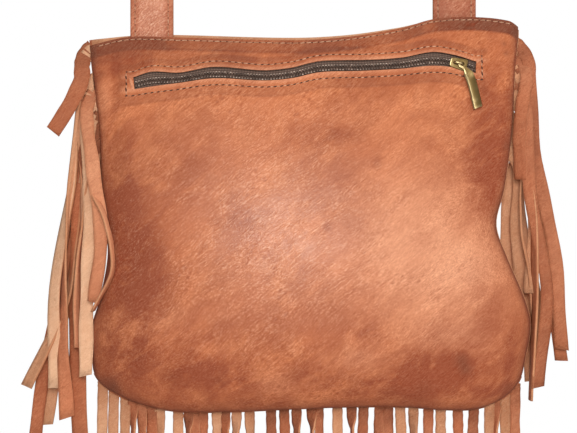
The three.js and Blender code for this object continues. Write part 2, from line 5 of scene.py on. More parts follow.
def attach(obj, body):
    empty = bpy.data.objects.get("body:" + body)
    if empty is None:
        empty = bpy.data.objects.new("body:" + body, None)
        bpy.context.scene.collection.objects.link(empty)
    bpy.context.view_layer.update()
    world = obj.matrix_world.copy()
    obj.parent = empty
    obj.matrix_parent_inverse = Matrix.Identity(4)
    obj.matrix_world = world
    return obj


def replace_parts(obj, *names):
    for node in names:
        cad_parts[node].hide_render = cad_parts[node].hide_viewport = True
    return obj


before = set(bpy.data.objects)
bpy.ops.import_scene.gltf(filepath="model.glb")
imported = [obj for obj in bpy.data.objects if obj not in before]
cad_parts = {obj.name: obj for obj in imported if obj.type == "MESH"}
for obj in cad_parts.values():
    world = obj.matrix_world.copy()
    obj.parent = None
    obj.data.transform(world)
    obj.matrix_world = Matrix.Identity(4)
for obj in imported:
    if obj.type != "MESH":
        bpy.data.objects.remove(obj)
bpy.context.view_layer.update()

scene = bpy.context.scene
mm = 0.001

# the photograph's view: straight on at the zip side
shot = {"centre": (-10.73, -484.1), "distance": 1000, "acrossFrame": 427, "frame": (577, 433)}

camData = bpy.data.cameras.new("photoCam")
cam = bpy.data.objects.new("photoCam", camData)
scene.collection.objects.link(cam)
cam.location = (shot["centre"][0] * mm, -shot["distance"] * mm, shot["centre"][1] * mm)
cam.rotation_euler = (math.radians(90), 0, 0)
camData.sensor_fit = "HORIZONTAL"
camData.angle = 2 * math.atan(shot["acrossFrame"] / 2 / shot["distance"])
camData.clip_start = 0.01
scene.camera = cam
print("camera set")

# soft studio light, a pale room and a round floor
studio = {
    "lamps": [  # name, place, aim, size, watts, colour
        ("keyLamp", (0.06, -1.5, -0.10), (0.0, 0, -0.50), 0.6, 17.0, (1.0, 0.97, 0.93)),
        ("sideLamp", (1.2, -1.3, 0.1), (0.05, 0, -0.50), 0.9, 6.5, (1.0, 0.96, 0.90)),
        ("rearLamp", (0.3, 1.9, 0.3), (0, 0, -0.5), 1.4, 15.0, (1.0, 0.98, 0.95)),
    ],
    "skyLight": 0.28,
    "skyTint": (1.0, 0.985, 0.97, 1),
    "floorDrop": -0.832,
    "floorRadius": 1.05,
    "floorSides": 96,
}


def lookAlong(obj, aim):
    obj.rotation_euler = (Vector(aim) - obj.location).to_track_quat("-Z", "Y").to_euler()


for name, place, aim, size, watts, tint in studio["lamps"]:
    lampData = bpy.data.lights.new(name, "AREA")
    lampData.size = size
    lampData.energy = watts
    lampData.color = tint
    lamp = bpy.data.objects.new(name, lampData)
    scene.collection.objects.link(lamp)
    lamp.location = place
    lookAlong(lamp, aim)

world = bpy.data.worlds.new("paleRoom")
scene.world = world
world.use_nodes = True
sky = world.node_tree.nodes
sky.clear()
skyOut = sky.new("ShaderNodeOutputWorld")
seen = sky.new("ShaderNodeBackground")
seen.inputs["Color"].default_value = (1, 1, 1, 1)
seen.inputs["Strength"].default_value = 1.0
lit = sky.new("ShaderNodeBackground")
lit.inputs["Color"].default_value = studio["skyTint"]
lit.inputs["Strength"].default_value = studio["skyLight"]
ray = sky.new("ShaderNodeLightPath")
either = sky.new("ShaderNodeMixShader")
world.node_tree.links.new(ray.outputs["Is Camera Ray"], either.inputs[0])
world.node_tree.links.new(lit.outputs[0], either.inputs[1])
world.node_tree.links.new(seen.outputs[0], either.inputs[2])
world.node_tree.links.new(either.outputs[0], skyOut.inputs[0])
scene.view_settings.view_transform = "Standard"
scene.view_settings.look = "None"

floorMesh = bmesh.new()
bmesh.ops.create_circle(floorMesh, cap_ends=True, segments=studio["floorSides"], radius=studio["floorRadius"])
bmesh.ops.translate(floorMesh, verts=floorMesh.verts, vec=(0, 0, studio["floorDrop"]))
floorData = bpy.data.meshes.new("paleFloor")
floorMesh.to_mesh(floorData)
floorMesh.free()
floor = bpy.data.objects.new("paleFloor", floorData)
scene.collection.objects.link(floor)
print("light and floor set")


# material helpers
def newMaterial(name):
    mat = bpy.data.materials.new(name)
    mat.use_nodes = True
    tree = mat.node_tree
    tree.nodes.clear()
    out = tree.nodes.new("ShaderNodeOutputMaterial")
    bsdf = tree.nodes.new("ShaderNodeBsdfPrincipled")
    tree.links.new(bsdf.outputs[0], out.inputs[0])
    return mat, tree, bsdf


def addNode(tree, kind, **values):
    n = tree.nodes.new(kind)
    for key, value in values.items():
        setattr(n, key, value)
    return n


def feed(tree, socket, value):
    if isinstance(value, bpy.types.NodeSocket):
        tree.links.new(value, socket)
    else:
        socket.default_value = value


def mathNode(tree, operation, a, b=None, c=None, clampIt=False):
    n = addNode(tree, "ShaderNodeMath", operation=operation, use_clamp=clampIt)
    for socket, value in zip(n.inputs, (a, b, c)):
        if value is not None:
            feed(tree, socket, value)
    return n.outputs[0]


def mixColours(tree, share, a, b, blend="MIX"):
    n = addNode(tree, "ShaderNodeMix", data_type="RGBA", blend_type=blend)
    feed(tree, n.inputs[0], share)
    feed(tree, n.inputs[6], a if isinstance(a, bpy.types.NodeSocket) else (*a, 1))
    feed(tree, n.inputs[7], b if isinstance(b, bpy.types.NodeSocket) else (*b, 1))
    return n.outputs[2]


def noiseNode(tree, vector, scale, detail=4, rough=0.55, distort=0.0):
    n = addNode(tree, "ShaderNodeTexNoise")
    tree.links.new(vector, n.inputs["Vector"])
    n.inputs["Scale"].default_value = scale
    n.inputs["Detail"].default_value = detail
    n.inputs["Roughness"].default_value = rough
    n.inputs["Distortion"].default_value = distort
    return n.outputs[0]


def rampNode(tree, value, low, high):
    n = addNode(tree, "ShaderNodeMapRange", interpolation_type="SMOOTHSTEP")
    feed(tree, n.inputs["Value"], value)
    n.inputs["From Min"].default_value = low
    n.inputs["From Max"].default_value = high
    return n.outputs[0]


def bumpNode(tree, bsdf, height, strength, distance):
    n = addNode(tree, "ShaderNodeBump")
    n.inputs["Strength"].default_value = strength
    n.inputs["Distance"].default_value = distance
    tree.links.new(height, n.inputs["Height"])
    tree.links.new(n.outputs[0], bsdf.inputs["Normal"])


def newGroup(name, ins, outs):
    group = bpy.data.node_groups.new(name, "ShaderNodeTree")
    for label, kind in ins:
        group.interface.new_socket(label, in_out="INPUT", socket_type=kind)
    for label, kind in outs:
        group.interface.new_socket(label, in_out="OUTPUT", socket_type=kind)
    return group, group.nodes.new("NodeGroupInput"), group.nodes.new("NodeGroupOutput")


def objectAt(tree):  # the piece's own coordinates
    return addNode(tree, "ShaderNodeTexCoord").outputs["Object"]


def dustyMaterial(name, form):  # two tones spread by a fine dust
    mat, tree, bsdf = newMaterial(name)
    dust = noiseNode(tree, objectAt(tree), form["dust"], form["detail"])
    share = rampNode(tree, dust, *form["range"]) if "range" in form else dust
    tree.links.new(mixColours(tree, share, form["dark"], form["light"]), bsdf.inputs["Base Color"])
    bsdf.inputs["Roughness"].default_value = form["rough"]
    return mat, tree, bsdf, dust


# hide grain: mottling, slanted wrinkles, pebbles, creases and pores, shared by every leather
grainForm = {
    "slant": -40, "stretches": (1.6, 3.0, 9.0),  # degrees; how far patches, brushed and combed grain draw out
    "bend": 16, "wander": 0.012,  # slow bending of the grain
    "broad": 9, "patch": 34, "spot": 120, "cloud": 70, "warmth": 21,  # tones, per metre
    "toneMix": (0.42, 0.36, 0.22),  # broad, patch, spot
    "mottleRange": (0.40, 0.60), "cloudRange": (0.40, 0.62), "warmthRange": (0.35, 0.65),
    "wrinkle": 1300, "pebble": 1200, "hair": 1000, "crease": 62, "pore": 260,  # relief, per metre
    "pebbleSmooth": 0.4, "pebbleShare": -0.3, "hairShare": 0.8, "level": 0.76, "spread": 1.9,
    "creaseWide": 0.02, "creaseShare": -0.1, "livelyRange": (0.36, 0.62), "calmShare": 0.5,
    "poreZone": (0.5, 0.66), "poreRange": (0.1, 0.42),
}
grainValues = ("Height", "Mottle", "Wrinkle", "Pores", "Warmth", "Cloud")

hideGrain, grainIn, grainOut = newGroup(
    "hideGrain",
    [("Vector", "NodeSocketVector"), ("Size", "NodeSocketFloat")],
    [(label, "NodeSocketFloat") for label in grainValues])


def grainMath(operation, a, b=None, c=None, clampIt=False):
    return mathNode(hideGrain, operation, a, b, c, clampIt)


def grainNoise(vector, kind, *look):
    return noiseNode(hideGrain, vector, grainForm[kind], *look)


def grainRamp(value, kind):
    return rampNode(hideGrain, value, *grainForm[kind])


def grainCells(kind, **values):
    n = addNode(hideGrain, "ShaderNodeTexVoronoi", **values)
    n.inputs["Scale"].default_value = grainForm[kind]
    hideGrain.links.new(slantAt, n.inputs["Vector"])
    return n


def slantedBy(stretch):  # the hide's slanted direction, drawn out along it
    n = addNode(hideGrain, "ShaderNodeMapping", vector_type="TEXTURE")
    n.inputs["Rotation"].default_value = (0, math.radians(grainForm["slant"]), 0)
    n.inputs["Scale"].default_value = (stretch, 1, 1)
    hideGrain.links.new(bent.outputs[0], n.inputs["Vector"])
    return n.outputs[0]


def giveGrain(label, value):
    hideGrain.links.new(value, grainOut.inputs[label])


scaled = addNode(hideGrain, "ShaderNodeVectorMath", operation="SCALE")
hideGrain.links.new(grainIn.outputs["Vector"], scaled.inputs[0])
hideGrain.links.new(grainIn.outputs["Size"], scaled.inputs["Scale"])
grainAt = scaled.outputs[0]
wander = addNode(hideGrain, "ShaderNodeTexNoise")
wander.inputs["Scale"].default_value = grainForm["bend"]
hideGrain.links.new(grainAt, wander.inputs["Vector"])
bent = addNode(hideGrain, "ShaderNodeVectorMath", operation="MULTIPLY_ADD")
hideGrain.links.new(wander.outputs["Color"], bent.inputs[0])
bent.inputs[1].default_value = (grainForm["wander"],) * 3
hideGrain.links.new(grainAt, bent.inputs[2])
slantAt, brushAt, combAt = (slantedBy(stretch) for stretch in grainForm["stretches"])

# tone in three sizes of cloud
broadShare, patchShare, spotShare = grainForm["toneMix"]
broad = grainNoise(grainAt, "broad", 5, 0.6, 0.5)
patch = grainNoise(slantAt, "patch", 6, 0.62, 0.6)
spot = grainNoise(slantAt, "spot", 4, 0.6)
mottle = grainMath("MULTIPLY_ADD", broad, broadShare, grainMath("MULTIPLY", patch, patchShare))
mottle = grainMath("MULTIPLY_ADD", spot, spotShare, mottle)
giveGrain("Mottle", grainRamp(mottle, "mottleRange"))
giveGrain("Cloud", grainRamp(grainNoise(brushAt, "cloud", 7, 0.64, 0.5), "cloudRange"))
giveGrain("Warmth", grainRamp(grainNoise(grainAt, "warmth", 4, 0.6, 0.4), "warmthRange"))

# relief from wrinkles, pebbles, hair lines and a few creases, calmer in some zones
wrinkle = grainNoise(brushAt, "wrinkle", 2, 0.6)
pebble = grainCells("pebble", feature="SMOOTH_F1")
pebble.inputs["Smoothness"].default_value = grainForm["pebbleSmooth"]
hair = grainNoise(combAt, "hair", 2, 0.5)
wave = grainNoise(slantAt, "crease", 4, 0.6, 0.9)
off = grainMath("ABSOLUTE", grainMath("SUBTRACT", wave, 0.5))
crease = grainMath("SUBTRACT", 1.0, rampNode(hideGrain, off, 0.0, grainForm["creaseWide"]))
calm = grainForm["calmShare"]
lively = grainMath("MULTIPLY_ADD", grainRamp(patch, "livelyRange"), 1 - calm, calm)
height = grainMath("MULTIPLY_ADD", pebble.outputs["Distance"], grainForm["pebbleShare"], wrinkle)
height = grainMath("MULTIPLY_ADD", hair, grainForm["hairShare"], height)
swing = grainMath("MULTIPLY", grainMath("SUBTRACT", height, grainForm["level"]), lively)
giveGrain("Height", grainMath("MULTIPLY_ADD", crease, grainForm["creaseShare"], swing))
giveGrain("Wrinkle", grainMath("MULTIPLY_ADD", swing, grainForm["spread"], 0.5, clampIt=True))
pore = grainCells("pore")
pits = grainMath("SUBTRACT", 1.0, grainRamp(pore.outputs["Distance"], "poreRange"))
giveGrain("Pores", grainMath("MULTIPLY", pits, grainRamp(patch, "poreZone")))

leatherForm = {  # shares that every leather has in common
    "warmShare": 0.45, "rubPatch": (0.4, 0.7), "stainMottle": -0.8, "stainCloud": (-0.7, 1.8),
    "burnPatch": (-0.45, 1.2), "ridgePolish": -0.1, "paintedGlint": (0.95, 0.62, 0.46), "paintedGlintRange": (0.5, 0.9),
    "bumpDepth": 0.0016,
}


def leatherMaterial(name, look):
    form = leatherForm
    mat, tree, bsdf = newMaterial(name)
    grain = addNode(tree, "ShaderNodeGroup", node_tree=hideGrain)
    tree.links.new(objectAt(tree), grain.inputs["Vector"])
    grain.inputs["Size"].default_value = look["grainSize"]
    mottle, wrinkle, cloud = (grain.outputs[label] for label in ("Mottle", "Wrinkle", "Cloud"))

    def times(a, b, clampIt=False):
        return mathNode(tree, "MULTIPLY", a, b, clampIt=clampIt)

    def timesPlus(a, b, c):
        return mathNode(tree, "MULTIPLY_ADD", a, b, c)

    def painted(layer):  # a tone that the mesh carries
        return addNode(tree, "ShaderNodeAttribute", attribute_name=layer).outputs["Fac"]

    coats = [(times(grain.outputs["Warmth"], form["warmShare"]), look["warm"])]
    if look["toned"]:
        # the burnish layer holds darkening and painted shade, the stain layer stains and some painted shade,
        # and the pale layer paler wear and some painted highlight
        dark, sheen = painted("burnishAndShade"), painted("sheen")
        streaky = timesPlus(mottle, form["stainMottle"], timesPlus(cloud, *form["stainCloud"]))
        coats += [
            (times(painted("pale"), timesPlus(mottle, *form["rubPatch"]), True), look["pale"]),
            (times(painted("stainAndShade"), streaky, True), look["rust"]),
            (times(dark, timesPlus(mottle, *form["burnPatch"]), True), look["burntAndShade"]),
            (mathNode(tree, "SUBTRACT", dark, 1.0, clampIt=True), look["charAndShade"])]
    coats += [
        (timesPlus(cloud, -look["clouds"], look["clouds"]), look["rust"]),
        (times(wrinkle, look["ridges"]), look["pale"]),
        (timesPlus(wrinkle, -look["valleys"], look["valleys"]), look["rust"]),
        (times(grain.outputs["Pores"], look["pores"]), look["rust"])]
    rough = timesPlus(wrinkle, form["ridgePolish"], look["rough"])
    if look["toned"]:  # rubbed leather is smoother, and pale painted highlight glints lie on its ridges
        paintedGlint = times(sheen, rampNode(tree, wrinkle, *form["paintedGlintRange"]))
        coats.append((times(paintedGlint, look["paintedGlints"]), form["paintedGlint"]))
        rough = timesPlus(sheen, -look["polish"], rough)
    colour = mixColours(tree, mottle, look["deep"], look["mid"])
    for share, tone in coats:
        colour = mixColours(tree, share, colour, tone)
    tree.links.new(colour, bsdf.inputs["Base Color"])
    tree.links.new(rough, bsdf.inputs["Roughness"])
    bsdf.inputs["Specular IOR Level"].default_value = look["gloss"]
    bumpNode(tree, bsdf, grain.outputs["Height"], look["relief"], form["bumpDepth"])
    return mat


panelLeather = leatherMaterial("panelLeather", {
    "grainSize": 1.0,
    "deep": (0.43, 0.112, 0.034), "mid": (0.70, 0.242, 0.094), "warm": (0.68, 0.20, 0.070),
    "pale": (0.86, 0.405, 0.232), "burntAndShade": (0.14, 0.027, 0.008), "rust": (0.25, 0.038, 0.007),
    "charAndShade": (0.05, 0.012, 0.006), "ridges": 0.2, "valleys": 0.42, "clouds": 0.22, "pores": 0.5,
    "rough": 0.92, "polish": 0.55, "gloss": 0.48, "relief": 0.3, "paintedGlints": 0.24, "toned": True})
strapLeather = leatherMaterial("strapLeather", {
    "grainSize": 0.8,
    "deep": (0.38, 0.118, 0.052), "mid": (0.66, 0.24, 0.122), "warm": (0.62, 0.19, 0.085),
    "pale": (0.80, 0.37, 0.22), "burntAndShade": (0.16, 0.040, 0.015), "rust": (0.30, 0.055, 0.018),
    "charAndShade": (0.06, 0.016, 0.008), "ridges": 0.34, "valleys": 0.46, "clouds": 0.28, "pores": 0.4,
    "rough": 0.74, "polish": 0.38, "gloss": 0.45, "relief": 0.5, "paintedGlints": 0.42, "toned": True})
stripGrain = leatherMaterial("stripGrain", {
    "grainSize": 1.2,
    "deep": (0.42, 0.125, 0.052), "mid": (0.64, 0.215, 0.098), "warm": (0.62, 0.18, 0.072),
    "pale": (0.82, 0.37, 0.20), "burntAndShade": (0.18, 0.048, 0.018), "rust": (0.28, 0.05, 0.016),
    "charAndShade": (0.06, 0.016, 0.008), "ridges": 0.22, "valleys": 0.26, "clouds": 0.14, "pores": 0.3,
    "rough": 0.72, "polish": 0.1, "gloss": 0.28, "relief": 0.6, "paintedGlints": 0.24, "toned": True})
stripFlesh = leatherMaterial("stripFlesh", {
    "grainSize": 1.6,
    "deep": (0.64, 0.285, 0.145), "mid": (0.85, 0.44, 0.25), "warm": (0.83, 0.385, 0.20),
    "pale": (0.97, 0.62, 0.40), "burntAndShade": (0.34, 0.118, 0.050), "rust": (0.50, 0.185, 0.080),
    "charAndShade": (0.14, 0.06, 0.03), "ridges": 0.3, "valleys": 0.24, "clouds": 0.16, "pores": 0.3,
    "rough": 0.9, "polish": 0.0, "gloss": 0.2, "relief": 0.7, "paintedGlints": 0.24, "toned": True})
cutEdge = leatherMaterial("cutEdge", {
    "grainSize": 2.2,
    "deep": (0.50, 0.20, 0.095), "mid": (0.72, 0.35, 0.19), "warm": (0.68, 0.29, 0.145),
    "pale": (0.84, 0.47, 0.28), "rust": (0.34, 0.13, 0.055),
    "ridges": 0.3, "valleys": 0.24, "clouds": 0.12, "pores": 0.3,
    "rough": 0.9, "gloss": 0.2, "relief": 0.4, "toned": False})

# twisted thread, dark slits that paint the shade in the stitch holes, woven tape, coil and brass
threadForm = {"dark": (0.38, 0.18, 0.10), "light": (0.62, 0.38, 0.25), "dust": 240, "detail": 3,
              "range": (0.35, 0.7), "rough": 0.7, "ply": 420, "relief": 0.4, "deep": 0.0003}
thread, threadTree, threadBsdf = dustyMaterial("thread", threadForm)[:3]
ply = addNode(threadTree, "ShaderNodeTexWave", wave_type="BANDS", bands_direction="DIAGONAL")
ply.inputs["Scale"].default_value = threadForm["ply"]
threadTree.links.new(objectAt(threadTree), ply.inputs["Vector"])
bumpNode(threadTree, threadBsdf, ply.outputs[0], threadForm["relief"], threadForm["deep"])

# near-black slits that paint the shade inside the stitch holes
holeShade = dustyMaterial("holeShadeSlit", {
    "dark": (0.04, 0.012, 0.006), "light": (0.10, 0.03, 0.014), "dust": 900, "detail": 2, "rough": 0.8})[0]

clothForm = {"dark": (0.06, 0.036, 0.027), "light": (0.34, 0.225, 0.175), "warp": 280, "weft": 240,
             "rough": 0.85, "relief": 0.6, "deep": 0.0004}
tapeCloth, tapeTree, tapeBsdf = newMaterial("tapeCloth")
tapeUv = addNode(tapeTree, "ShaderNodeUVMap", uv_map="lay").outputs[0]
warp = addNode(tapeTree, "ShaderNodeTexWave", bands_direction="X")
weft = addNode(tapeTree, "ShaderNodeTexWave", bands_direction="Y")
for wave, kind in ((warp, "warp"), (weft, "weft")):
    wave.inputs["Scale"].default_value = clothForm[kind]
    tapeTree.links.new(tapeUv, wave.inputs["Vector"])
woven = mathNode(tapeTree, "MULTIPLY", warp.outputs[0], weft.outputs[0])
tapeColour = mixColours(tapeTree, woven, clothForm["dark"], clothForm["light"])
tapeTree.links.new(tapeColour, tapeBsdf.inputs["Base Color"])
tapeBsdf.inputs["Roughness"].default_value = clothForm["rough"]
bumpNode(tapeTree, tapeBsdf, woven, clothForm["relief"], clothForm["deep"])

coilForm = {"dark": (0.07, 0.042, 0.031), "light": (0.24, 0.155, 0.12), "dust": 160, "detail": 4,
            "range": (0.4, 0.75), "rough": 0.3, "dusty": 0.3}
coilNylon, coilTree, coilBsdf, coilDust = dustyMaterial("coilNylon", coilForm)
dusted = mathNode(coilTree, "MULTIPLY_ADD", coilDust, coilForm["dusty"], coilForm["rough"])
coilTree.links.new(dusted, coilBsdf.inputs["Roughness"])

chainThread = dustyMaterial("chainThread", {
    "dark": (0.10, 0.066, 0.052), "light": (0.62, 0.50, 0.42), "dust": 420, "detail": 3,
    "range": (0.35, 0.7), "rough": 0.5})[0]

brassForm = {"clean": (0.54, 0.42, 0.22), "dull": (0.17, 0.115, 0.045),
             "tarnish": 120, "tarnishRange": (-0.1, 0.5), "scratch": 1500,
             "rough": 0.3, "dullRough": 0.24, "relief": 0.12, "deep": 0.0002}
agedBrass, brassTree, brassBsdf = newMaterial("agedBrass")
brassAt = objectAt(brassTree)
tarnish = noiseNode(brassTree, brassAt, brassForm["tarnish"], 5, 0.6, 0.3)
scratch = noiseNode(brassTree, brassAt, brassForm["scratch"], 3, 0.6)
# clean brass where worn, and partly a painted highlight along the pull's beaded edge
edgeShine = addNode(brassTree, "ShaderNodeAttribute", attribute_name="wornAndHighlight").outputs["Fac"]
tarnished = rampNode(brassTree, tarnish, *brassForm["tarnishRange"])
dulled = mathNode(brassTree, "SUBTRACT", tarnished, edgeShine, clampIt=True)
brassColour = mixColours(brassTree, dulled, brassForm["clean"], brassForm["dull"])
brassTree.links.new(brassColour, brassBsdf.inputs["Base Color"])
brassBsdf.inputs["Metallic"].default_value = 1.0
brassRough = mathNode(brassTree, "MULTIPLY_ADD", dulled, brassForm["dullRough"], brassForm["rough"])
brassTree.links.new(brassRough, brassBsdf.inputs["Roughness"])
bumpNode(brassTree, brassBsdf, scratch, brassForm["relief"], brassForm["deep"])

floorPaint = dustyMaterial("floorPaint", {
    "dark": (0.80, 0.79, 0.78), "light": (0.84, 0.83, 0.82), "dust": 3, "detail": 3, "rough": 0.8})[0]
floorData.materials.append(floorPaint)
print("materials made")


# shape helpers
def clamp(x, low=0.0, high=1.0):
    return min(max(x, low), high)


def mix(a, b, s):
    return a + (b - a) * s


def ease(x, low, high):
    s = clamp((x - low) / (high - low))
    return s * s * (3 - 2 * s)


def hump(x, middle, wide):
    return math.exp(-(((x - middle) / wide) ** 2))


def vary(i, kind):  # repeatable spread between 0 and 1
    s = math.sin(i * 12.9898 + kind * 78.233) * 43758.5453
    return s - math.floor(s)


def curveThrough(rows, col):  # smooth curve through one column of a table
    xs = [row[0] for row in rows]
    ys = [row[col] for row in rows]
    last = len(rows) - 1
    slopes = []
    for i in range(last + 1):
        a, b = max(i - 1, 0), min(i + 1, last)
        slopes.append((ys[b] - ys[a]) / (xs[b] - xs[a]))

    def at(x):
        x = clamp(x, xs[0], xs[-1])
        i = 1
        while i < last and xs[i] < x:
            i += 1
        span = xs[i] - xs[i - 1]
        s = (x - xs[i - 1]) / span
        bend = span * s * (1 - s) * (slopes[i - 1] * (1 - s) - slopes[i] * s)
        return mix(ys[i - 1], ys[i], s * s * (3 - 2 * s)) + bend

    return at


def gridSheet(bm, cols, rows, place, lay=None):  # a grid whose points are laid by place(i, j)
    uv = (bm.loops.layers.uv.get("lay") or bm.loops.layers.uv.new("lay")) if lay else None
    made = bmesh.ops.create_grid(bm, x_segments=cols, y_segments=rows, size=1.0)["verts"]
    where = {}
    for v in made:
        where[v] = (round((v.co.x + 1) / 2 * cols), round((v.co.y + 1) / 2 * rows))
    for v in made:
        v.co = place(*where[v])
    if lay:
        for f in {f for v in made for f in v.link_faces}:
            for loop in f.loops:
                loop[uv].uv = lay(*where[loop.vert])
    return where


def leatherSheet():  # an empty mesh with its tone layers
    bm = bmesh.new()
    for layer in ("sheen", "stainAndShade"):
        bm.verts.layers.float.new(layer)
    return bm, bm.verts.layers.float.new("burnishAndShade"), bm.verts.layers.float.new("pale")


def joinInto(bm, small):  # adds a small mesh to a large one
    data = bpy.data.meshes.new("joined")
    small.to_mesh(data)
    small.free()
    bm.from_mesh(data)
    bpy.data.meshes.remove(data)


def finishPiece(name, bm, mats, body="bag", smooth=True):
    data = bpy.data.meshes.new(name)
    bm.to_mesh(data)
    bm.free()
    for m in mats:
        data.materials.append(m)
    data.polygons.foreach_set("use_smooth", [smooth] * len(data.polygons))
    piece = bpy.data.objects.new(name, data)
    scene.collection.objects.link(piece)
    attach(piece, body)
    return piece


def thicken(piece, thick, offset=-1.0, inner=0, rim=0):
    m = piece.modifiers.new("ply", "SOLIDIFY")
    m.thickness = thick * mm
    m.offset = offset
    m.use_even_offset = True
    m.material_offset = inner
    m.material_offset_rim = rim


def roundEdges(piece, wide, segments=2, angle=50):
    m = piece.modifiers.new("soften", "BEVEL")
    m.width = wide * mm
    m.segments = segments
    m.limit_method = "ANGLE"
    m.angle_limit = math.radians(angle)
    m.profile = 0.5


# the bag's form, in millimetres; a drop is measured down from the hem line
bagForm = {
    "strapDrop": 352, "bodyDrop": 275, "wall": 1.8, "seamHalf": 1.1,
    "leftCorner": (35, 0.5), "rightCorner": (32, 0.72),  # height, start
    "seam": [  # share across, drop
        (-1, 277), (-0.4, 276.7), (0.1, 273.2), (0.45, 273), (0.65, 275), (1, 275)],
    "sidePower": 2.6, "sideRound": 0.5,
    "mouthDepth": 11, "nearDepth": 37, "farDepth": 31, "fullAt": 0.72, "turnAt": 0.76, "turnRound": 2.2,
    "outline": [  # drop, left, right
        (0, -158.5, 159), (28, -155, 156.5), (68, -150.5, 154.5), (112, -149, 148.5), (138, -145.5, 142.5),
        (162, -144, 150.5), (194, -150, 164), (213, -155.5, 168), (245, -155.5, 163), (275, -155, 162)],
    "mouth": [  # x, near rise, far rise
        (-158.5, -6.2, -1.5), (-128, -0.4, 2.2), (-97, -0.9, 3.2), (-8, -3.3, 1.3), (33, -0.7, 3.3),
        (72, 5.8, 8.8), (95, 12.3, 13.4), (124, 14.2, 13.4), (151, 12, 11.4), (159, 8, 7.5)],
    "windowDrop": 25,
    "window": [  # x, upper lip's drop, lower lip's drop
        (-125, 30.3, 39.1), (-111, 26.1, 37), (-91, 26.9, 34.6), (-65, 22.8, 31.3),
        (-29, 25.4, 33), (-8, 23.3, 31.2), (12.5, 18.5, 26.9), (43.7, 17.8, 25.9),
        (71.8, 16, 24.3), (94, 11.8, 22.1), (109.5, 13.8, 23.2), (126.5, 18.6, 27.2)],
    "dents": [  # x, drop, wide, tall, deep
        (-142, 70, 9, 60, 2.2), (-128, 80, 8, 55, -1.4), (-133, 158, 24, 40, 3.5), (134, 95, 22, 48, 4.5),
        (122, 152, 20, 30, 3), (95, 246, 34, 14, 2.4), (-105, 252, 26, 12, 2), (10, 60, 90, 16, 1.6)],
}

leftEdge = curveThrough(bagForm["outline"], 1)
rightEdge = curveThrough(bagForm["outline"], 2)
nearMouth = curveThrough(bagForm["mouth"], 1)
farMouth = curveThrough(bagForm["mouth"], 2)
upperLip = curveThrough(bagForm["window"], 1)
lowerLip = curveThrough(bagForm["window"], 2)
seamLine = curveThrough(bagForm["seam"], 1)


def acrossToX(u, drop):
    return mix(leftEdge(drop), rightEdge(drop), (u + 1) / 2)


def xToAcross(x, drop):
    return 2 * (x - leftEdge(drop)) / (rightEdge(drop) - leftEdge(drop)) - 1


def topDrop(face, u):
    return -(nearMouth if face < 0 else farMouth)(acrossToX(u, 0))


def seamDrop(u):
    height, start = bagForm["leftCorner"] if u < 0 else bagForm["rightCorner"]
    s = clamp((abs(u) - start) / (1 - start))
    return seamLine(u) - height * (1 - math.sqrt(1 - s * s))


def skin(face, u, drop):  # a point on a panel's outer skin, in millimetres
    x = acrossToX(u, drop)
    top = topDrop(face, u)
    t = clamp((drop - top) / (seamDrop(u) - top))
    turn = clamp((t - bagForm["turnAt"]) / (1 - bagForm["turnAt"]))
    across = max(0.0, 1 - abs(u) ** bagForm["sidePower"]) ** bagForm["sideRound"]
    down = math.sqrt(max(0.0, 1 - turn ** bagForm["turnRound"]))
    full = bagForm["nearDepth"] if face < 0 else bagForm["farDepth"]
    deep = bagForm["mouthDepth"] + (full - bagForm["mouthDepth"]) * ease(t, 0, bagForm["fullAt"])
    if face < 0:
        for at, low, wide, tall, sunk in bagForm["dents"]:
            deep -= sunk * hump(x, at, wide) * hump(drop, low, tall)
    return Vector((x, face * (bagForm["seamHalf"] + deep * across * down), -bagForm["strapDrop"] - drop))


def skinOut(face, u, drop):  # outward direction of the skin
    most, aside, below = 0.992, 0.004, 0.4  # how near the seam it is read, and the steps to each side
    a = clamp(u, -most, most)
    d = clamp(drop, topDrop(face, a) + 0.5, seamDrop(a) - 0.8)
    run = skin(face, a + aside, d) - skin(face, a - aside, d)
    fall = skin(face, a, d + below) - skin(face, a, d - below)
    out = run.cross(fall).normalized()
    return out if out.y * face > 0 else -out


def nearAt(x, drop, lift=0.0):  # a place on the zip panel, raised off its skin
    u = clamp(xToAcross(x, drop), -1, 1)
    return skin(-1, u, drop) + skinOut(-1, u, drop) * lift
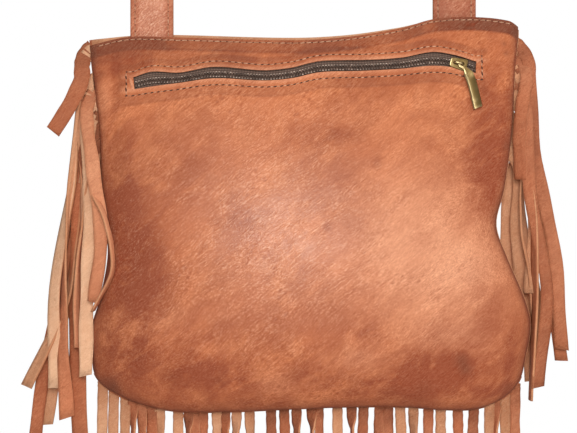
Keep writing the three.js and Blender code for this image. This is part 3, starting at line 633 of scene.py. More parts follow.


# the zip panel: pressed hem, rolled lips, the zip facing's step, stitch channels and marks of use, with
# painted shade and painted highlights in its tones
zipPanelForm = {
    "sideCols": 26, "windowCols": 190,
    "hemRows": 10, "collarRows": 18, "windowRows": 6, "upperRows": 32, "bellyRows": 66, "upperDeep": 26,
    "hem": 9.5, "hemProud": 0.55, "hemSewn": 2.0, "hemChannel": 0.4, "drawn": 0.12,
    "lipProud": 0.6, "channel": 0.5, "stitchUp": 4.3, "stitchDown": 4.6, "pucker": 0.16,
    "stepDown": 11.4, "stepUp": 9.6, "stepProud": 0.5, "stepSunk": 0.55, "soft": 0.55, "crease": 0.16,
    "facing": (-135, 135, 2.0), "facingTone": (-134, 134, 3.0),  # from, to, softness of the ends
    "hemRun": (-151, 153), "zipRun": (-129.5, 131),  # sewn lines, from and to
    "burnsAndShade": {  # strength of each darkened place
        # side, bottom, sideRim, bottomRim and leftSide are painted shade where the panel turns away and along
        # its seams; hemLine and facingLine are painted shade along the hem's and the facing's steps
        "hem": 0.72, "hemCorner": 0.14, "hemRight": 0.62, "hemLine": 0.3, "collar": 0.36,
        "leftSide": 0.18, "leftTop": 0.42, "facing": 0.3, "facingLine": 0.3, "collarStep": 0.42,
        "stitches": 0.22, "side": 0.55, "bottom": 0.45, "sideRim": 0.5, "bottomRim": 0.5, "most": 1.8},
    "collarStain": 0.24, "lowStainAndShade": 0.27, "lowerLipHighlight": 0.5, "upperLipHighlight": 0.75,
    "sheen": (-22, 143, 90, 74),  # x, drop, wide, tall
    # rows (-138, 150), (-112, 172) and (-124, 120) at the left, (139, 85) at the upper right, and (-100, 235)
    # and (100, 235) low down are partly painted shade of the dents and of the panel turning away; the others
    # are stains
    "stainsAndShade": [  # x, drop, wide, tall, strength
        (113, 237, 7, 8, 0.9), (96, 244, 26, 15, 0.62), (71, 255, 24, 10, 0.6), (33, 253, 15, 8, 0.6),
        (47, 215, 12, 6, 0.4), (133, 260, 20, 5, 0.45), (150, 258, 5, 6, 0.6), (6, 245, 14, 8, 0.5),
        (-31, 268, 22, 4, 0.4), (-65, 249, 28, 12, 0.5), (-56, 250, 4, 4, 0.3), (-122, 229, 11, 14, 0.4),
        (-112, 172, 18, 42, 0.68), (-138, 150, 22, 85, 0.78), (-100, 235, 45, 35, 0.3),
        (100, 235, 55, 30, 0.14), (-124, 120, 6, 60, 0.3), (-128, 20, 20, 14, 0.3), (-137, 35, 4, 26, 0.35),
        (-152, 30, 4, 4, 0.4), (139, 85, 23, 50, 0.85), (149, 81, 3, 8, 0.5), (152, 42, 3, 12, 0.3),
        (140, 32, 3, 4, 0.35), (20, 72, 22, 8, 0.4), (54, 94, 5, 4, 0.4), (29, 106, 9, 8, 0.25),
        (-44, 133, 11, 10, 0.3), (17, 140, 3.4, 3.6, 0.4), (133, 198, 14, 20, 0.25),
        (151, 236, 6, 20, 0.35), (-90, 100, 22, 30, 0.24)],
    "spots": [  # x, drop, radius, strength
        (133, 41, 2.6, 0.6), (149.5, 12, 2.4, 0.55), (149, 81, 3.4, 0.5), (148, 5, 1.8, 0.5),
        (128.5, 18, 1.8, 0.4), (-132.5, 35.5, 3, 0.5), (-141, 256, 7, 1.1), (114, 235, 5, 0.62),
        (117, 242, 5, 0.7), (150, 258, 5, 0.5), (-148, 27, 3, 0.4), (86, 256, 7, 0.3), (62, 259, 7, 0.28),
        (36, 252, 6, 0.25), (-8, 247, 6, 0.25), (-120, 232, 5, 0.22), (-60, 250, 4, 0.25),
        (-96, 247, 6, 0.2), (20, 73, 5, 0.2), (54, 94, 3, 0.3)],
    # rows (-22, 152), (-28, 168), (-31, 134), (2, 155) and (25, 117) are painted highlights on the belly; the
    # others are paler rubbed leather
    "rubsAndHighlights": [  # x, drop, wide, tall, strength
        (92, 158, 58, 62, 0.85), (-22, 152, 56, 52, 0.2), (-28, 168, 5, 4, 0.5), (-31, 134, 6, 4, 0.45),
        (2, 155, 7, 5, 0.45), (25, 117, 9, 5, 0.3), (39, 234, 18, 9, 0.35), (101, 217, 22, 12, 0.4),
        (126, 219, 14, 14, 0.3), (-19, 253, 15, 9, 0.3), (-70, 80, 50, 26, 0.1), (10, 56, 100, 12, 0.08),
        (-146, 45, 5, 16, 0.3), (-100, 205, 24, 14, 0.2), (120, 178, 26, 22, 0.3)],
}
rowCrowd = 1.35  # how far rows crowd towards the bottom seam


def hemDistance(x, drop):
    return drop + nearMouth(x)


def plateau(x, low, high, soft):  # one between low and high, with soft ends
    return ease(x, low - soft, low + soft) * (1 - ease(x, high - soft, high + soft))


def zipPanelRelief(x, drop):  # low relief along the skin's outward direction
    form = zipPanelForm
    down, up = drop - lowerLip(x), upperLip(x) - drop
    below, hem, stepUp = hemDistance(x, drop), form["hem"], form["stepUp"]
    ends = plateau(x, *form["facing"])
    raised = form["hemProud"] * (1 - ease(below, hem - 0.7, hem + 0.7))
    raised -= form["hemChannel"] * hump(below, form["hemSewn"], 1.0)
    raised += form["stepProud"] * ends * plateau(down, -30, form["stepDown"], 0.4)
    drawn = plateau(below, hem + 1, hem + 11, 2) * (0.5 + 0.5 * math.sin(x * 0.031 + 1))
    raised += form["drawn"] * drawn * math.sin(1.9 * below + math.sin(x * 0.05))
    raised *= 1 - form["stepSunk"] * ends * ease(up, stepUp - 0.8, stepUp + 0.8)
    raised += form["lipProud"] * ends * (hump(up, 0.6, 2.2) if up > -4 else 0)
    raised += form["lipProud"] * ends * (hump(down, 0.6, 2.4) if down > -4 else 0)
    raised -= form["channel"] * ends * (hump(up, form["stitchUp"], 1.1) + hump(down, form["stitchDown"], 1.2))
    pucker = math.sin(x * 0.55) * 0.5 + math.sin(x * 0.23 + 1.3)
    raised += form["pucker"] * pucker * ends * hump(down, 7, 7)
    soft = math.sin(x * 0.043 + drop * 0.061) * math.sin(drop * 0.037 - x * 0.021 + 0.7)
    crease = math.sin((x * 0.6 + drop * 0.8) * 0.21) * math.sin((x - drop) * 0.07 + 2.0)
    return raised + ease(drop, 45, 80) * (form["soft"] * soft + form["crease"] * crease)


def zipPanelTone(x, drop, u):  # darkening, stain and paleness of a place, each partly painted light: painted shade at the sides, bottom, seams, steps and dents, painted highlights on the belly and lips; past one the darkening turns to the darkest tone
    form, burnsAndShade = zipPanelForm, zipPanelForm["burnsAndShade"]
    down, up = drop - lowerLip(x), upperLip(x) - drop
    below, seam, hem = hemDistance(x, drop), seamDrop(u), form["hem"]
    ends = plateau(x, *form["facingTone"])
    onHem = 1 - ease(below, hem - 0.8, hem + 0.8)
    corner = max(1 - ease(x, -112, -92), ease(x, 92, 106))
    burnishAndShade = onHem * (burnsAndShade["hem"] + burnsAndShade["hemCorner"] * corner + burnsAndShade["hemRight"] * ease(x, 90, 120))
    # painted shade along the hem's lower step
    burnishAndShade += burnsAndShade["hemLine"] * hump(below, hem, 0.9)
    burnishAndShade += burnsAndShade["collar"] * hump(x, -62, 44) * plateau(below, hem, hem + 12, 4)
    # painted shade down the left side
    burnishAndShade += burnsAndShade["leftSide"] * hump(x, -138, 24) * ease(drop, 60, 100)
    burnishAndShade += burnsAndShade["leftTop"] * (1 - ease(x, -120, -84)) * (1 - ease(below, 12, 19))
    burnishAndShade += burnsAndShade["facing"] * ends * plateau(down, form["stitchDown"] + 1, form["stepDown"], 0.7)
    # painted shade along the facing's step
    burnishAndShade += burnsAndShade["facingLine"] * ends * hump(down, form["stepDown"] + 0.2, 0.8)
    burnishAndShade += burnsAndShade["collarStep"] * ends * plateau(up, form["stitchUp"] + 1.4, form["stepUp"], 0.8)
    sewn = hump(down, form["stitchDown"], 1.2) + hump(up, form["stitchUp"], 1.0)
    burnishAndShade += burnsAndShade["stitches"] * ends * sewn
    for at, low, radius, strength in form["spots"]:
        burnishAndShade += strength * hump(math.hypot(x - at, drop - low), 0, radius)
    # painted shade where the panel turns away at its sides and bottom, and a dark painted shade line along
    # the seams
    burnishAndShade += burnsAndShade["side"] * ease(abs(u), 0.94, 1.0) + burnsAndShade["bottom"] * ease(drop, seam - 13, seam)
    burnishAndShade += burnsAndShade["sideRim"] * ease(abs(u), 0.978, 0.998)
    burnishAndShade += burnsAndShade["bottomRim"] * ease(drop, seam - 3.5, seam - 0.5)
    stainAndShade = form["collarStain"] * plateau(below, hem, hem + 14, 5)
    stainAndShade *= (1 - ease(x, 90, 120)) * (1 - 0.8 * hump(x, 30, 42))
    # darker towards the bottom, partly painted shade where the belly turns away
    stainAndShade += form["lowStainAndShade"] * ease(drop, 190, 240)
    for at, low, wide, tall, strength in form["stainsAndShade"]:
        stainAndShade += strength * math.exp(-((((x - at) / wide) ** 2 + ((drop - low) / tall) ** 2) ** 1.4))
    # painted highlights along the rolled lips
    pale = ends * (form["lowerLipHighlight"] * hump(down, 0.6, 1.8) + form["upperLipHighlight"] * hump(up, 0.6, 1.5))
    for at, low, wide, tall, strength in form["rubsAndHighlights"]:
        pale += strength * hump(x, at, wide) * hump(drop, low, tall)
    return min(burnishAndShade, burnsAndShade["most"]), clamp(stainAndShade), clamp(pale)


def spreadAngles(parts):  # column shares, close together at the seams
    angles = []
    for a, b, count in parts:
        angles += [mix(a, b, k / count) for k in range(count)]
    return [math.sin(a) for a in angles + [parts[-1][1]]]


def raiseSkin(bm, reliefOf):  # lifts each point along its normal, least at the side seams
    bm.normal_update()
    moves = []
    for v in bm.verts:
        u, relief = reliefOf(v)
        moves.append((v, v.normal * (relief * (1 - ease(abs(u), 0.97, 1.0)) * mm)))
    for v, move in moves:
        v.co += move


def finishPanel(name, bm, node):
    piece = finishPiece(name, bm, [panelLeather, stripFlesh])
    thicken(piece, bagForm["wall"], inner=1)
    roundEdges(piece, 0.6, 2, 60)
    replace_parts(piece, node)


windowFrom, windowTo = (
    math.asin(xToAcross(bagForm["window"][k][0], bagForm["windowDrop"])) for k in (0, -1))
panelCols = spreadAngles([
    (-math.pi / 2, windowFrom, zipPanelForm["sideCols"]),
    (windowFrom, windowTo, zipPanelForm["windowCols"]),
    (windowTo, math.pi / 2, zipPanelForm["sideCols"])])


def zipPanelRow(u, j):  # drop of a row in one column
    form = zipPanelForm
    x = acrossToX(u, bagForm["windowDrop"])
    top = topDrop(-1, u)
    hemEnd = top + form["hem"] + 1.5
    upper = max(upperLip(x), hemEnd + 4)
    lower = lowerLip(x)
    bellyTop = lower + form["upperDeep"]
    for kind, a, b in (("hemRows", top, hemEnd), ("collarRows", hemEnd, upper),
                       ("windowRows", upper, lower), ("upperRows", lower, bellyTop)):
        if j <= form[kind]:
            return mix(a, b, j / form[kind])
        j -= form[kind]
    s = j / form["bellyRows"]
    return mix(bellyTop, seamDrop(u), 1 - (1 - s) ** rowCrowd)


def buildZipPanel():
    form = zipPanelForm
    cols = len(panelCols) - 1
    rows = sum(form[kind] for kind in ("hemRows", "collarRows", "windowRows", "upperRows", "bellyRows"))
    bm, burnishAndShade, pale = leatherSheet()
    sheen, stainAndShade = (bm.verts.layers.float[layer] for layer in ("sheen", "stainAndShade"))
    drops = {}

    def place(i, j):
        drops[i, j] = zipPanelRow(panelCols[i], rows - j)
        return skin(-1, panelCols[i], drops[i, j]) * mm

    where = gridSheet(bm, cols, rows, place)
    firstRow = form["upperRows"] + form["bellyRows"]
    inside = []
    for f in bm.faces:
        spots = [where[v] for v in f.verts]
        i, j = min(s[0] for s in spots), min(s[1] for s in spots)
        if 0 <= i - form["sideCols"] < form["windowCols"] and 0 <= j - firstRow < form["windowRows"]:
            inside.append(f)
    bmesh.ops.delete(bm, geom=inside, context="FACES")
    atX, atDrop, wide, tall = form["sheen"]

    def reliefOf(v):
        i, j = where[v]
        u, drop = panelCols[i], drops[i, j]
        x = acrossToX(u, drop)
        v[burnishAndShade], v[stainAndShade], v[pale] = zipPanelTone(x, drop, u)
        v[sheen] = hump(x, atX, wide) * hump(drop, atDrop, tall)
        return u, zipPanelRelief(x, drop)

    raiseSkin(bm, reliefOf)
    finishPanel("zipPanel", bm, "zip_panel")


buildZipPanel()
print("zip panel made")

# the plain panel behind
plainPanelForm = {
    "cols": 120, "hemRows": 8, "rows": 84, "hem": 10.5, "hemProud": 0.5, "hemSewn": 2.0, "hemChannel": 0.35,
    # side and bottom darkening is painted shade where the panel turns away; the belly rub is partly a painted
    # highlight
    "soft": 0.9, "burnsAndShade": {"hem": 0.4, "side": 0.5, "bottom": 0.4, "corner": 0.3},
    "rubsAndHighlights": {"belly": 0.7, "rim": 0.8},
}


def plainPanelRelief(x, drop):
    form = plainPanelForm
    below = drop + farMouth(x)
    soft = math.sin(x * 0.041 - drop * 0.057) * math.sin(drop * 0.033 + x * 0.024 + 0.4)
    raised = form["hemProud"] * (1 - ease(below, form["hem"] - 1.2, form["hem"] + 0.8))
    raised -= form["hemChannel"] * hump(below, form["hemSewn"], 1.0)
    return raised + form["soft"] * soft * ease(drop, 20, 70)


def plainPanelTone(x, drop, u):  # darkening and paleness of a place; the darkening at the sides and bottom is painted shade, and the paler belly is partly a painted highlight
    burnsAndShade, rubsAndHighlights, hem = plainPanelForm["burnsAndShade"], plainPanelForm["rubsAndHighlights"], plainPanelForm["hem"]
    below, seam = drop + farMouth(x), seamDrop(u)
    burnishAndShade = burnsAndShade["hem"] * (1 - ease(below, hem - 1.5, hem + 0.6)) + burnsAndShade["side"] * ease(abs(u), 0.9, 1.0)
    burnishAndShade += burnsAndShade["bottom"] * ease(drop, seam - 18, seam)
    burnishAndShade += burnsAndShade["corner"] * hump(x, 100, 40) * hump(drop, 230, 35)
    pale = rubsAndHighlights["belly"] * hump(x, -20, 80) * hump(drop, 165, 62) + rubsAndHighlights["rim"] * (1 - ease(below, 0.2, 1.4))
    return clamp(burnishAndShade), clamp(pale)


def buildPlainPanel():
    form = plainPanelForm
    cols, hemRows, rows = form["cols"], form["hemRows"], form["hemRows"] + form["rows"]
    shares = spreadAngles([(-math.pi / 2, math.pi / 2, cols)])
    bm, burnishAndShade, pale = leatherSheet()
    drops = {}

    def place(i, j):
        u, k = -shares[i], rows - j
        top = topDrop(1, u)
        hemEnd = top + form["hem"] + 1.5
        if k <= hemRows:
            drops[i, j] = mix(top, hemEnd, k / hemRows)
        else:
            s = (k - hemRows) / form["rows"]
            drops[i, j] = mix(hemEnd, seamDrop(u), 1 - (1 - s) ** rowCrowd)
        return skin(1, u, drops[i, j]) * mm

    where = gridSheet(bm, cols, rows, place)

    def reliefOf(v):
        i, j = where[v]
        u, drop = -shares[i], drops[i, j]
        x = acrossToX(u, drop)
        v[burnishAndShade], v[pale] = plainPanelTone(x, drop, u)
        return u, plainPanelRelief(x, drop)

    raiseSkin(bm, reliefOf)
    finishPanel("plainPanel", bm, "plain_panel")


buildPlainPanel()
print("plain panel made")

# stitches: one thread a line, over the leather and down into dark slits that paint the shade of the stitch
# holes
stitchForm = {
    "pitch": 4.8, "under": -0.9, "perStitch": 6, "around": 6, "stray": 0.3, "slant": 0.5,
    "slitFlat": 0.14, "slitTurn": 14, "slitLift": 0.02, "slitVary": (0.85, 0.3), "merge": 1e-7,
}
hemStitch = {"thick": 0.36, "over": 0.12, "flat": 0.5, "slit": 0.65, "slitWide": 0.42}
topStitch = {"thick": 0.42, "over": 0.05, "flat": 1.1, "slit": 1.1, "slitWide": 0.55}
strapStitch = {"thick": 0.34, "over": 0.06, "flat": 0.8, "slit": 0.7, "slitWide": 0.36}
zipStitch = {"thick": 0.46, "over": -0.05, "flat": 2.2, "slit": 1.5, "slitWide": 0.62}


def closeTube(bm, verts, near):  # joins a rolled sheet's sides and fills its ends
    bmesh.ops.remove_doubles(bm, verts=list(verts), dist=near)
    bmesh.ops.holes_fill(bm, edges=[e for e in bm.edges if e.is_boundary])


def sewLine(bm, bmHoleShade, line, outAt, count, style):
    form = stitchForm
    rows = count * form["perStitch"]
    frames = []
    for j in range(rows + 1):
        s = j / rows
        run = (line(min(s + 0.5 / rows, 1)) - line(max(s - 0.5 / rows, 0))).normalized()
        flat = outAt(s).cross(run).normalized()
        out = run.cross(flat)
        stage = j % form["perStitch"] / form["perStitch"]
        lift = mix(form["under"], style["over"], math.sin(math.pi * stage) ** style["flat"])
        aside = form["stray"] * (vary(j // form["perStitch"], 7) - 0.5) + form["slant"] * (stage - 0.5)
        frames.append((line(s) + out * lift + flat * aside * math.sin(math.pi * stage), flat, out))

    def place(i, j):
        middle, flat, out = frames[j]
        a = 2 * math.pi * i / form["around"]
        return (middle + (flat * math.cos(a) + out * math.sin(a)) * style["thick"]) * mm

    closeTube(bm, gridSheet(bm, form["around"], rows, place), form["merge"])
    # dark slits at each stitch end, painted shade of the holes
    least, spread = form["slitVary"]
    slant = Matrix.Rotation(math.radians(form["slitTurn"]), 4, "Z")
    small = bmesh.new()
    for k in range(count + 1):
        middle, flat, out = frames[k * form["perStitch"]]
        spin = Matrix((flat.cross(out), flat, out)).transposed().to_4x4()
        long = style["slit"] * (least + spread * vary(k, 5))
        size = Matrix.Diagonal((long, style["slitWide"], form["slitFlat"], 1))
        pit = bmesh.ops.create_uvsphere(small, u_segments=8, v_segments=4, radius=1)["verts"]
        spot = Matrix.Translation(middle + out * (form["slitLift"] - form["under"]))
        bmesh.ops.transform(small, matrix=Matrix.Scale(mm, 4) @ spot @ spin @ slant @ size, verts=pit)
    joinInto(bmHoleShade, small)


def panelLine(spots):  # a line on a panel from places (x, drop), read by its length
    runs = [0.0]
    for a, b in zip(spots, spots[1:]):
        runs.append(runs[-1] + math.dist(a, b))

    def at(s):
        want = clamp(s) * runs[-1]
        k = 1
        while k < len(runs) - 1 and runs[k] < want:
            k += 1
        share = (want - runs[k - 1]) / (runs[k] - runs[k - 1])
        return mix(spots[k - 1][0], spots[k][0], share), mix(spots[k - 1][1], spots[k][1], share)

    return at, runs[-1]


def sewOnPanel(bm, bmHoleShade, points, style, face=-1, reliefAt=zipPanelRelief):
    at, run = panelLine(points)

    def out(s):
        x, drop = at(s)
        return skinOut(face, clamp(xToAcross(x, drop), -1, 1), drop)

    def line(s):
        x, drop = at(s)
        return skin(face, clamp(xToAcross(x, drop), -1, 1), drop) + out(s) * reliefAt(x, drop)

    sewLine(bm, bmHoleShade, line, out, max(1, round(run / stitchForm["pitch"])), style)


def steps(a, b, count):
    return [mix(a, b, k / count) for k in range(count + 1)]


def buildPanelStitches():
    bm, bmHoleShade = bmesh.new(), bmesh.new()
    form = zipPanelForm
    hemXs, zipXs = steps(*form["hemRun"], 120), steps(*form["zipRun"], 110)
    sewOnPanel(bm, bmHoleShade, [(x, -nearMouth(x) + form["hemSewn"]) for x in hemXs], hemStitch)
    farHem = [(x, -farMouth(x) + plainPanelForm["hemSewn"]) for x in hemXs]
    sewOnPanel(bm, bmHoleShade, farHem, hemStitch, 1, plainPanelRelief)
    up, down = form["stitchUp"], form["stitchDown"]
    sewOnPanel(bm, bmHoleShade, [(x, upperLip(x) - up) for x in zipXs], topStitch)
    sewOnPanel(bm, bmHoleShade, [(x, lowerLip(x) + down) for x in zipXs], zipStitch)
    for x in form["zipRun"]:
        sewOnPanel(bm, bmHoleShade, [(x, d) for d in steps(upperLip(x) - up, lowerLip(x) + down, 8)], zipStitch)
    finishPiece("panelStitches", bm, [thread])
    finishPiece("panelHoleShade", bmHoleShade, [holeShade])


buildPanelStitches()
print("panel stitches sewn")

# the strap: two plies with a quarter turn on each side and a half round arch on top
strapForm = {
    "width": 32, "thick": 3.4, "centre": 111.4, "across": 16, "along": 300,
    "sewn": 19, "sewnDrop": 8, "behind": (3.2, 0.4, 0.5),  # plies and slack in front of the sewn end
    "turnLow": 330, "turnHigh": 150, "lean": 3.5, "stitchIn": 3.7, "stitchEnd": 14,
    "crown": 0.35, "channel": 0.4, "thinRim": 0.25, "inset": 0.1, "gap": 0.06,
    "rimBurn": 0.6, "stitchBurn": 0.3, "footBurn": 0.34, "topBurn": 0.2,
    "rubAndHighlight": 0.7, "polish": 0.7, "footStain": 0.2,
}
archHeight = -(strapForm["centre"] - strapForm["thick"] / 2)
sewnSkin = skin(-1, xToAcross(-strapForm["centre"], strapForm["sewnDrop"]), strapForm["sewnDrop"])
sewnY = sewnSkin.y + sum(strapForm["behind"]) + strapForm["thick"] / 2


def strapFoot(sideSign):
    return -bagForm["strapDrop"] + nearMouth(sideSign * strapForm["centre"]) - strapForm["sewn"]


legLeft = archHeight - strapFoot(-1)
legRight = archHeight - strapFoot(1)
archRun = math.pi * strapForm["centre"]
strapRun = legLeft + archRun + legRight


def strapFrame(run):  # middle, width direction and inner face direction at a distance along the strap
    if legLeft <= run <= legLeft + archRun:
        angle = math.pi * (1 - (run - legLeft) / archRun)
        out = Vector((math.cos(angle), 0, math.sin(angle)))
        return Vector((0, 0, archHeight)) + out * strapForm["centre"], Vector((0, -1, 0)), -out
    sideSign = -1 if run < legLeft else 1
    z = strapFoot(-1) + run if sideSign < 0 else strapFoot(1) + (strapRun - run)
    turned = ease(z, -strapForm["turnLow"], -strapForm["turnHigh"])
    angle = math.radians(mix(-strapForm["lean"], 90, turned))
    facing = Vector((-sideSign * math.sin(angle), -math.cos(angle), 0))
    middle = Vector((sideSign * strapForm["centre"], mix(sewnY, 0, turned), z))
    up = Vector((0, 0, -sideSign))
    return middle, facing.cross(up).normalized(), facing


def strapSpot(run, across, facingSign):  # a place on one face of the strap
    form = strapForm
    middle, along, facing = strapFrame(run)
    inFrom = form["width"] / 2 - abs(across)
    crown = form["crown"] * ease(inFrom, 0, 5) - form["channel"] * hump(inFrom, form["stitchIn"], 1.5)
    crown -= form["thinRim"] * (1 - ease(inFrom, 0, 1.6))
    ripple = 0.12 * math.sin(run * 0.17) + 0.18 * math.sin(run * 0.065 + 1)
    proud = form["thick"] / 2 - form["inset"] + crown + ripple * ease(inFrom, 2, 9)
    return middle + along * across + facing * facingSign * proud


def buildStrap():
    form = strapForm
    half = form["width"] / 2

    def sheet(facingSign, name):
        bm, burnishAndShade, pale = leatherSheet()
        sheen, stainAndShade = (bm.verts.layers.float[layer] for layer in ("sheen", "stainAndShade"))

        def place(i, j):
            across = mix(half, -half, i / form["across"]) * facingSign
            return strapSpot(strapRun * j / form["along"], across, facingSign) * mm

        where = gridSheet(bm, form["across"], form["along"], place)
        for v, (i, j) in where.items():
            run = strapRun * j / form["along"]
            inFrom = half - abs(mix(-half, half, i / form["across"]))
            lastEnd = ease(run, strapRun - 170, strapRun - 80)
            rim = form["rimBurn"] * (1 - ease(inFrom, 0, 2.0))
            rim += form["stitchBurn"] * hump(inFrom, form["stitchIn"], 1.6)
            foot = form["footBurn"] * ease(run, strapRun - 160, strapRun - 90)
            foot += form["topBurn"] * hump(run, strapRun * 0.45, 60)
            patchy = (0.55 + 0.45 * math.sin(run * 0.037 + 0.6)) * (1 - 1.6 * foot)
            v[burnishAndShade] = clamp(rim + foot)
            # paler along the strap's middle, partly a painted highlight on its crown
            v[pale] = clamp(form["rubAndHighlight"] * ease(inFrom, 4.5, 9) * patchy)
            v[sheen] = form["polish"] * ease(inFrom, 4.0, 8.0) * (1 - 0.8 * lastEnd)
            v[stainAndShade] = form["footStain"] * lastEnd
        piece = finishPiece(name, bm, [strapLeather, stripFlesh, cutEdge])
        thicken(piece, form["thick"] / 2 - form["gap"], inner=1, rim=2)
        roundEdges(piece, 0.45, 2, 50)
        return piece

    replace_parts(sheet(1, "strapLining"), "strap")
    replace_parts(sheet(-1, "strapTop"), "strap")
    bm, bmHoleShade = bmesh.new(), bmesh.new()
    inset, end = half - form["stitchIn"], form["stitchEnd"]
    count = round((strapRun - 2 * end) / stitchForm["pitch"])
    for facingSign in (1, -1):
        for edge in (-inset, inset):
            def line(s, edge=edge, facingSign=facingSign):
                return strapSpot(mix(end, strapRun - end, s), edge, facingSign)

            def out(s, facingSign=facingSign):
                return strapFrame(mix(end, strapRun - end, s))[2] * facingSign

            sewLine(bm, bmHoleShade, line, out, count, strapStitch)
    finishPiece("strapStitches", bm, [thread])
    finishPiece("strapHoleShade", bmHoleShade, [holeShade])


buildStrap()
print("strap made")

# fringe: strips that leave the seam, bend down and turn to show grain or flesh
fringeForm = {
    "thick": 1.5, "along": 46, "acrossCells": 4, "bandDrop": 236, "bandIn": -5, "bandOut": 0.6,
    "cup": 1.1, "slantEnd": 3.0, "rootShade": 0.42, "bandBurn": 0.5,
    "bottomLong": 178, "bottomVary": 16, "bottomWide": 7.6, "sway": 12, "depth": 18, "curl": 80,
    "left": [  # root, reach, high, low, end, fall, layer, back, turn, twist, wide
        (8, 5.6, 5.5, 14, 26, 62, -6, -9, 5, 12, 11.5),
        (10, 8, 13.5, 26, 26.5, 249, 3, 0, 95, 188, 9.6),
        (31, 8, 17.5, 23, 20, 250, 0, -1, 190, 372, 9.8),
        (49, 7.2, 4.5, 6.4, 7.4, 200, -6.5, -7.5, 170, 197, 9.6),
        (54, 6, 10, 15, 13.5, 175, -2.5, -2.5, 150, 48, 9),
        (39, 5.8, 0.5, -5.6, -0.5, 156, -9.2, -11.6, 15, -10, 9.8),
        (60, 10, 14.5, 16.5, 14, 249, 4.5, 5.5, 10, -14, 13),
        (68, 12, 17, 27, 54, 190, 7, 0, 80, 155, 9.6),
        (78, 14, 25, 42, 52, 238, 10, 8, 0, 25, 9.6),
        (88, 13, 22, 33, 42, 200, 13, 12, 180, 163, 9),
        (100, 4, -6.5, -11, 3.5, 101, -17.4, -16.4, 58, 78, 5)],
    "right": [
        (5, 9, 13, 26.5, 32, 225, -2, -4, 15, 8, 9.8),
        (12, 7, 4, 1.5, 2.5, 93, -5, -4, 8, 30, 9.4),
        (18, 8, 10, 24, 34.5, 221, 3, 3, 20, 12, 9.6),
        (24, 8, 11, 14.5, 11, 165, 1, 2, 178, 215, 9.6),
        (34, 8, 11, 23, 16.5, 224, -6, -5, 20, -20, 9.6),
        (44, 8.8, -1, -0.5, 4, 202, 13, 31, 178, 196, 11.5),
        (60, 8, 15.5, 15.5, 13.5, 208, -3, -2, 60, 88, 9.2),
        (72, 9, 10, 19, 21, 178, 5, 4, 100, 170, 9.4),
        (84, 8, 7.5, 14.5, 19, 172, 11, 18, 170, 200, 9.4)],
    # a tone above nothing is darker, below it paler
    "leftTones": (0.3, -0.8, -0.15, -0.55, -0.5, -0.35, 0.36, 0.5, 0.4, 0.3, -0.45),
    "rightTones": (0.36, 0.3, 0.2, 0.02, 0.36, 0.05, 0.2, 0.3, 0.26),
    "bottom": [  # x, turn
        (-148, 190), (-140, 180), (-131.5, 165), (-126, 68), (-119.5, 40), (-112, 15), (-106, 220),
        (-92.5, 180), (-84.7, 60), (-80, 20), (-74, -20), (-64, 140), (-57.7, 50), (-49.2, 235),
        (-39.6, 140), (-23.7, 0), (-14, 10), (-4.8, 60), (6.3, 80), (11.5, -40), (25.5, 180), (36, 80),
        (44.8, 5), (56.6, 30), (63, -25), (72, 200), (81.8, 235), (92.9, 0), (102, 180), (114.7, 0),
        (126.5, -8), (138, 195), (142.5, 75), (149.5, 180), (157, 10)],
}


def pathThrough(points):  # centripetal curve through the points, read by point number
    pts = [points[0] * 2 - points[1]] + points + [points[-1] * 2 - points[-2]]

    def at(s):
        k = min(int(s * (len(points) - 1)), len(points) - 2)
        w = s * (len(points) - 1) - k
        p0, p1, p2, p3 = pts[k:k + 4]
        d0, d1, d2 = (max((b - a).length ** 0.5, 1e-4) for a, b in ((p0, p1), (p1, p2), (p2, p3)))
        t1 = ((p1 - p0) / d0 - (p2 - p0) / (d0 + d1) + (p2 - p1) / d1) * d1
        t2 = ((p2 - p1) / d1 - (p3 - p1) / (d1 + d2) + (p3 - p2) / d2) * d1
        c2 = (p2 - p1) * 3 - t1 * 2 - t2
        c3 = (p1 - p2) * 2 + t1 + t2
        return p1 + t1 * w + c2 * w * w + c3 * w * w * w

    return at


def layStrip(bm, path, angleAt, wide, seed, tone):
    rows = fringeForm["along"]
    cells = fringeForm["acrossCells"]
    burnishAndShade, pale = (bm.verts.layers.float[layer] for layer in ("burnishAndShade", "pale"))
    cup = fringeForm["cup"] * (vary(seed, 11) - 0.35)
    slantEnd = fringeForm["slantEnd"] * (vary(seed, 12) - 0.5)
    loose = clamp((path(1) - path(0)).length / 180)  # a short strip stays straighter
    frames = []
    for j in range(rows + 1):
        s = j / rows
        tangent = (path(min(s + 0.004, 1)) - path(max(s - 0.004, 0))).normalized()
        flat = Vector((0, -1, 0))
        flat = (flat - tangent * flat.dot(tangent)).normalized()
        facing = Matrix.Rotation(math.radians(angleAt(s)), 3, tangent) @ flat
        frames.append((path(s), tangent, facing, tangent.cross(facing).normalized()))

    def place(i, j):
        middle, tangent, facing, along = frames[j]
        s = j / rows
        free = loose * ease(s, 0.35, 0.6)
        a = mix(-1, 1, i / cells)
        broad = wide * (1 + 0.06 * free * math.sin(s * 11 + seed) + 0.03 * math.sin(s * 41 + seed * 2))
        edge = 0.3 * free * math.sin(s * 47 + seed * 3 + (2 if a > 0 else 0)) * abs(a)
        wave = free * (0.5 * math.sin(s * 23 + seed * 1.7) + 0.3 * math.sin(s * 47 + seed))
        spot = middle + along * (a * broad / 2 + edge) + facing * (cup * free * (1 - a * a) + wave)
        if j == rows:
            spot += tangent * slantEnd * a
        return spot * mm

    where = gridSheet(bm, cells, rows, place)
    for v, (i, j) in where.items():
        s = j / rows
        # darker near the root: painted shade where the strips leave the seam
        root = fringeForm["rootShade"] * (1 - ease(s, 0.25, 0.52))
        v[burnishAndShade] = clamp(root + max(0, tone) + 0.25 * hump(s, vary(seed, 14), 0.12))
        v[pale] = clamp(max(0, -tone) * 1.5 + 0.35 * hump(s, vary(seed, 15), 0.2))


def flatTurn(turn):  # the nearest turn that lies flat in the seam
    return math.floor(turn / 180 + 0.5) * 180


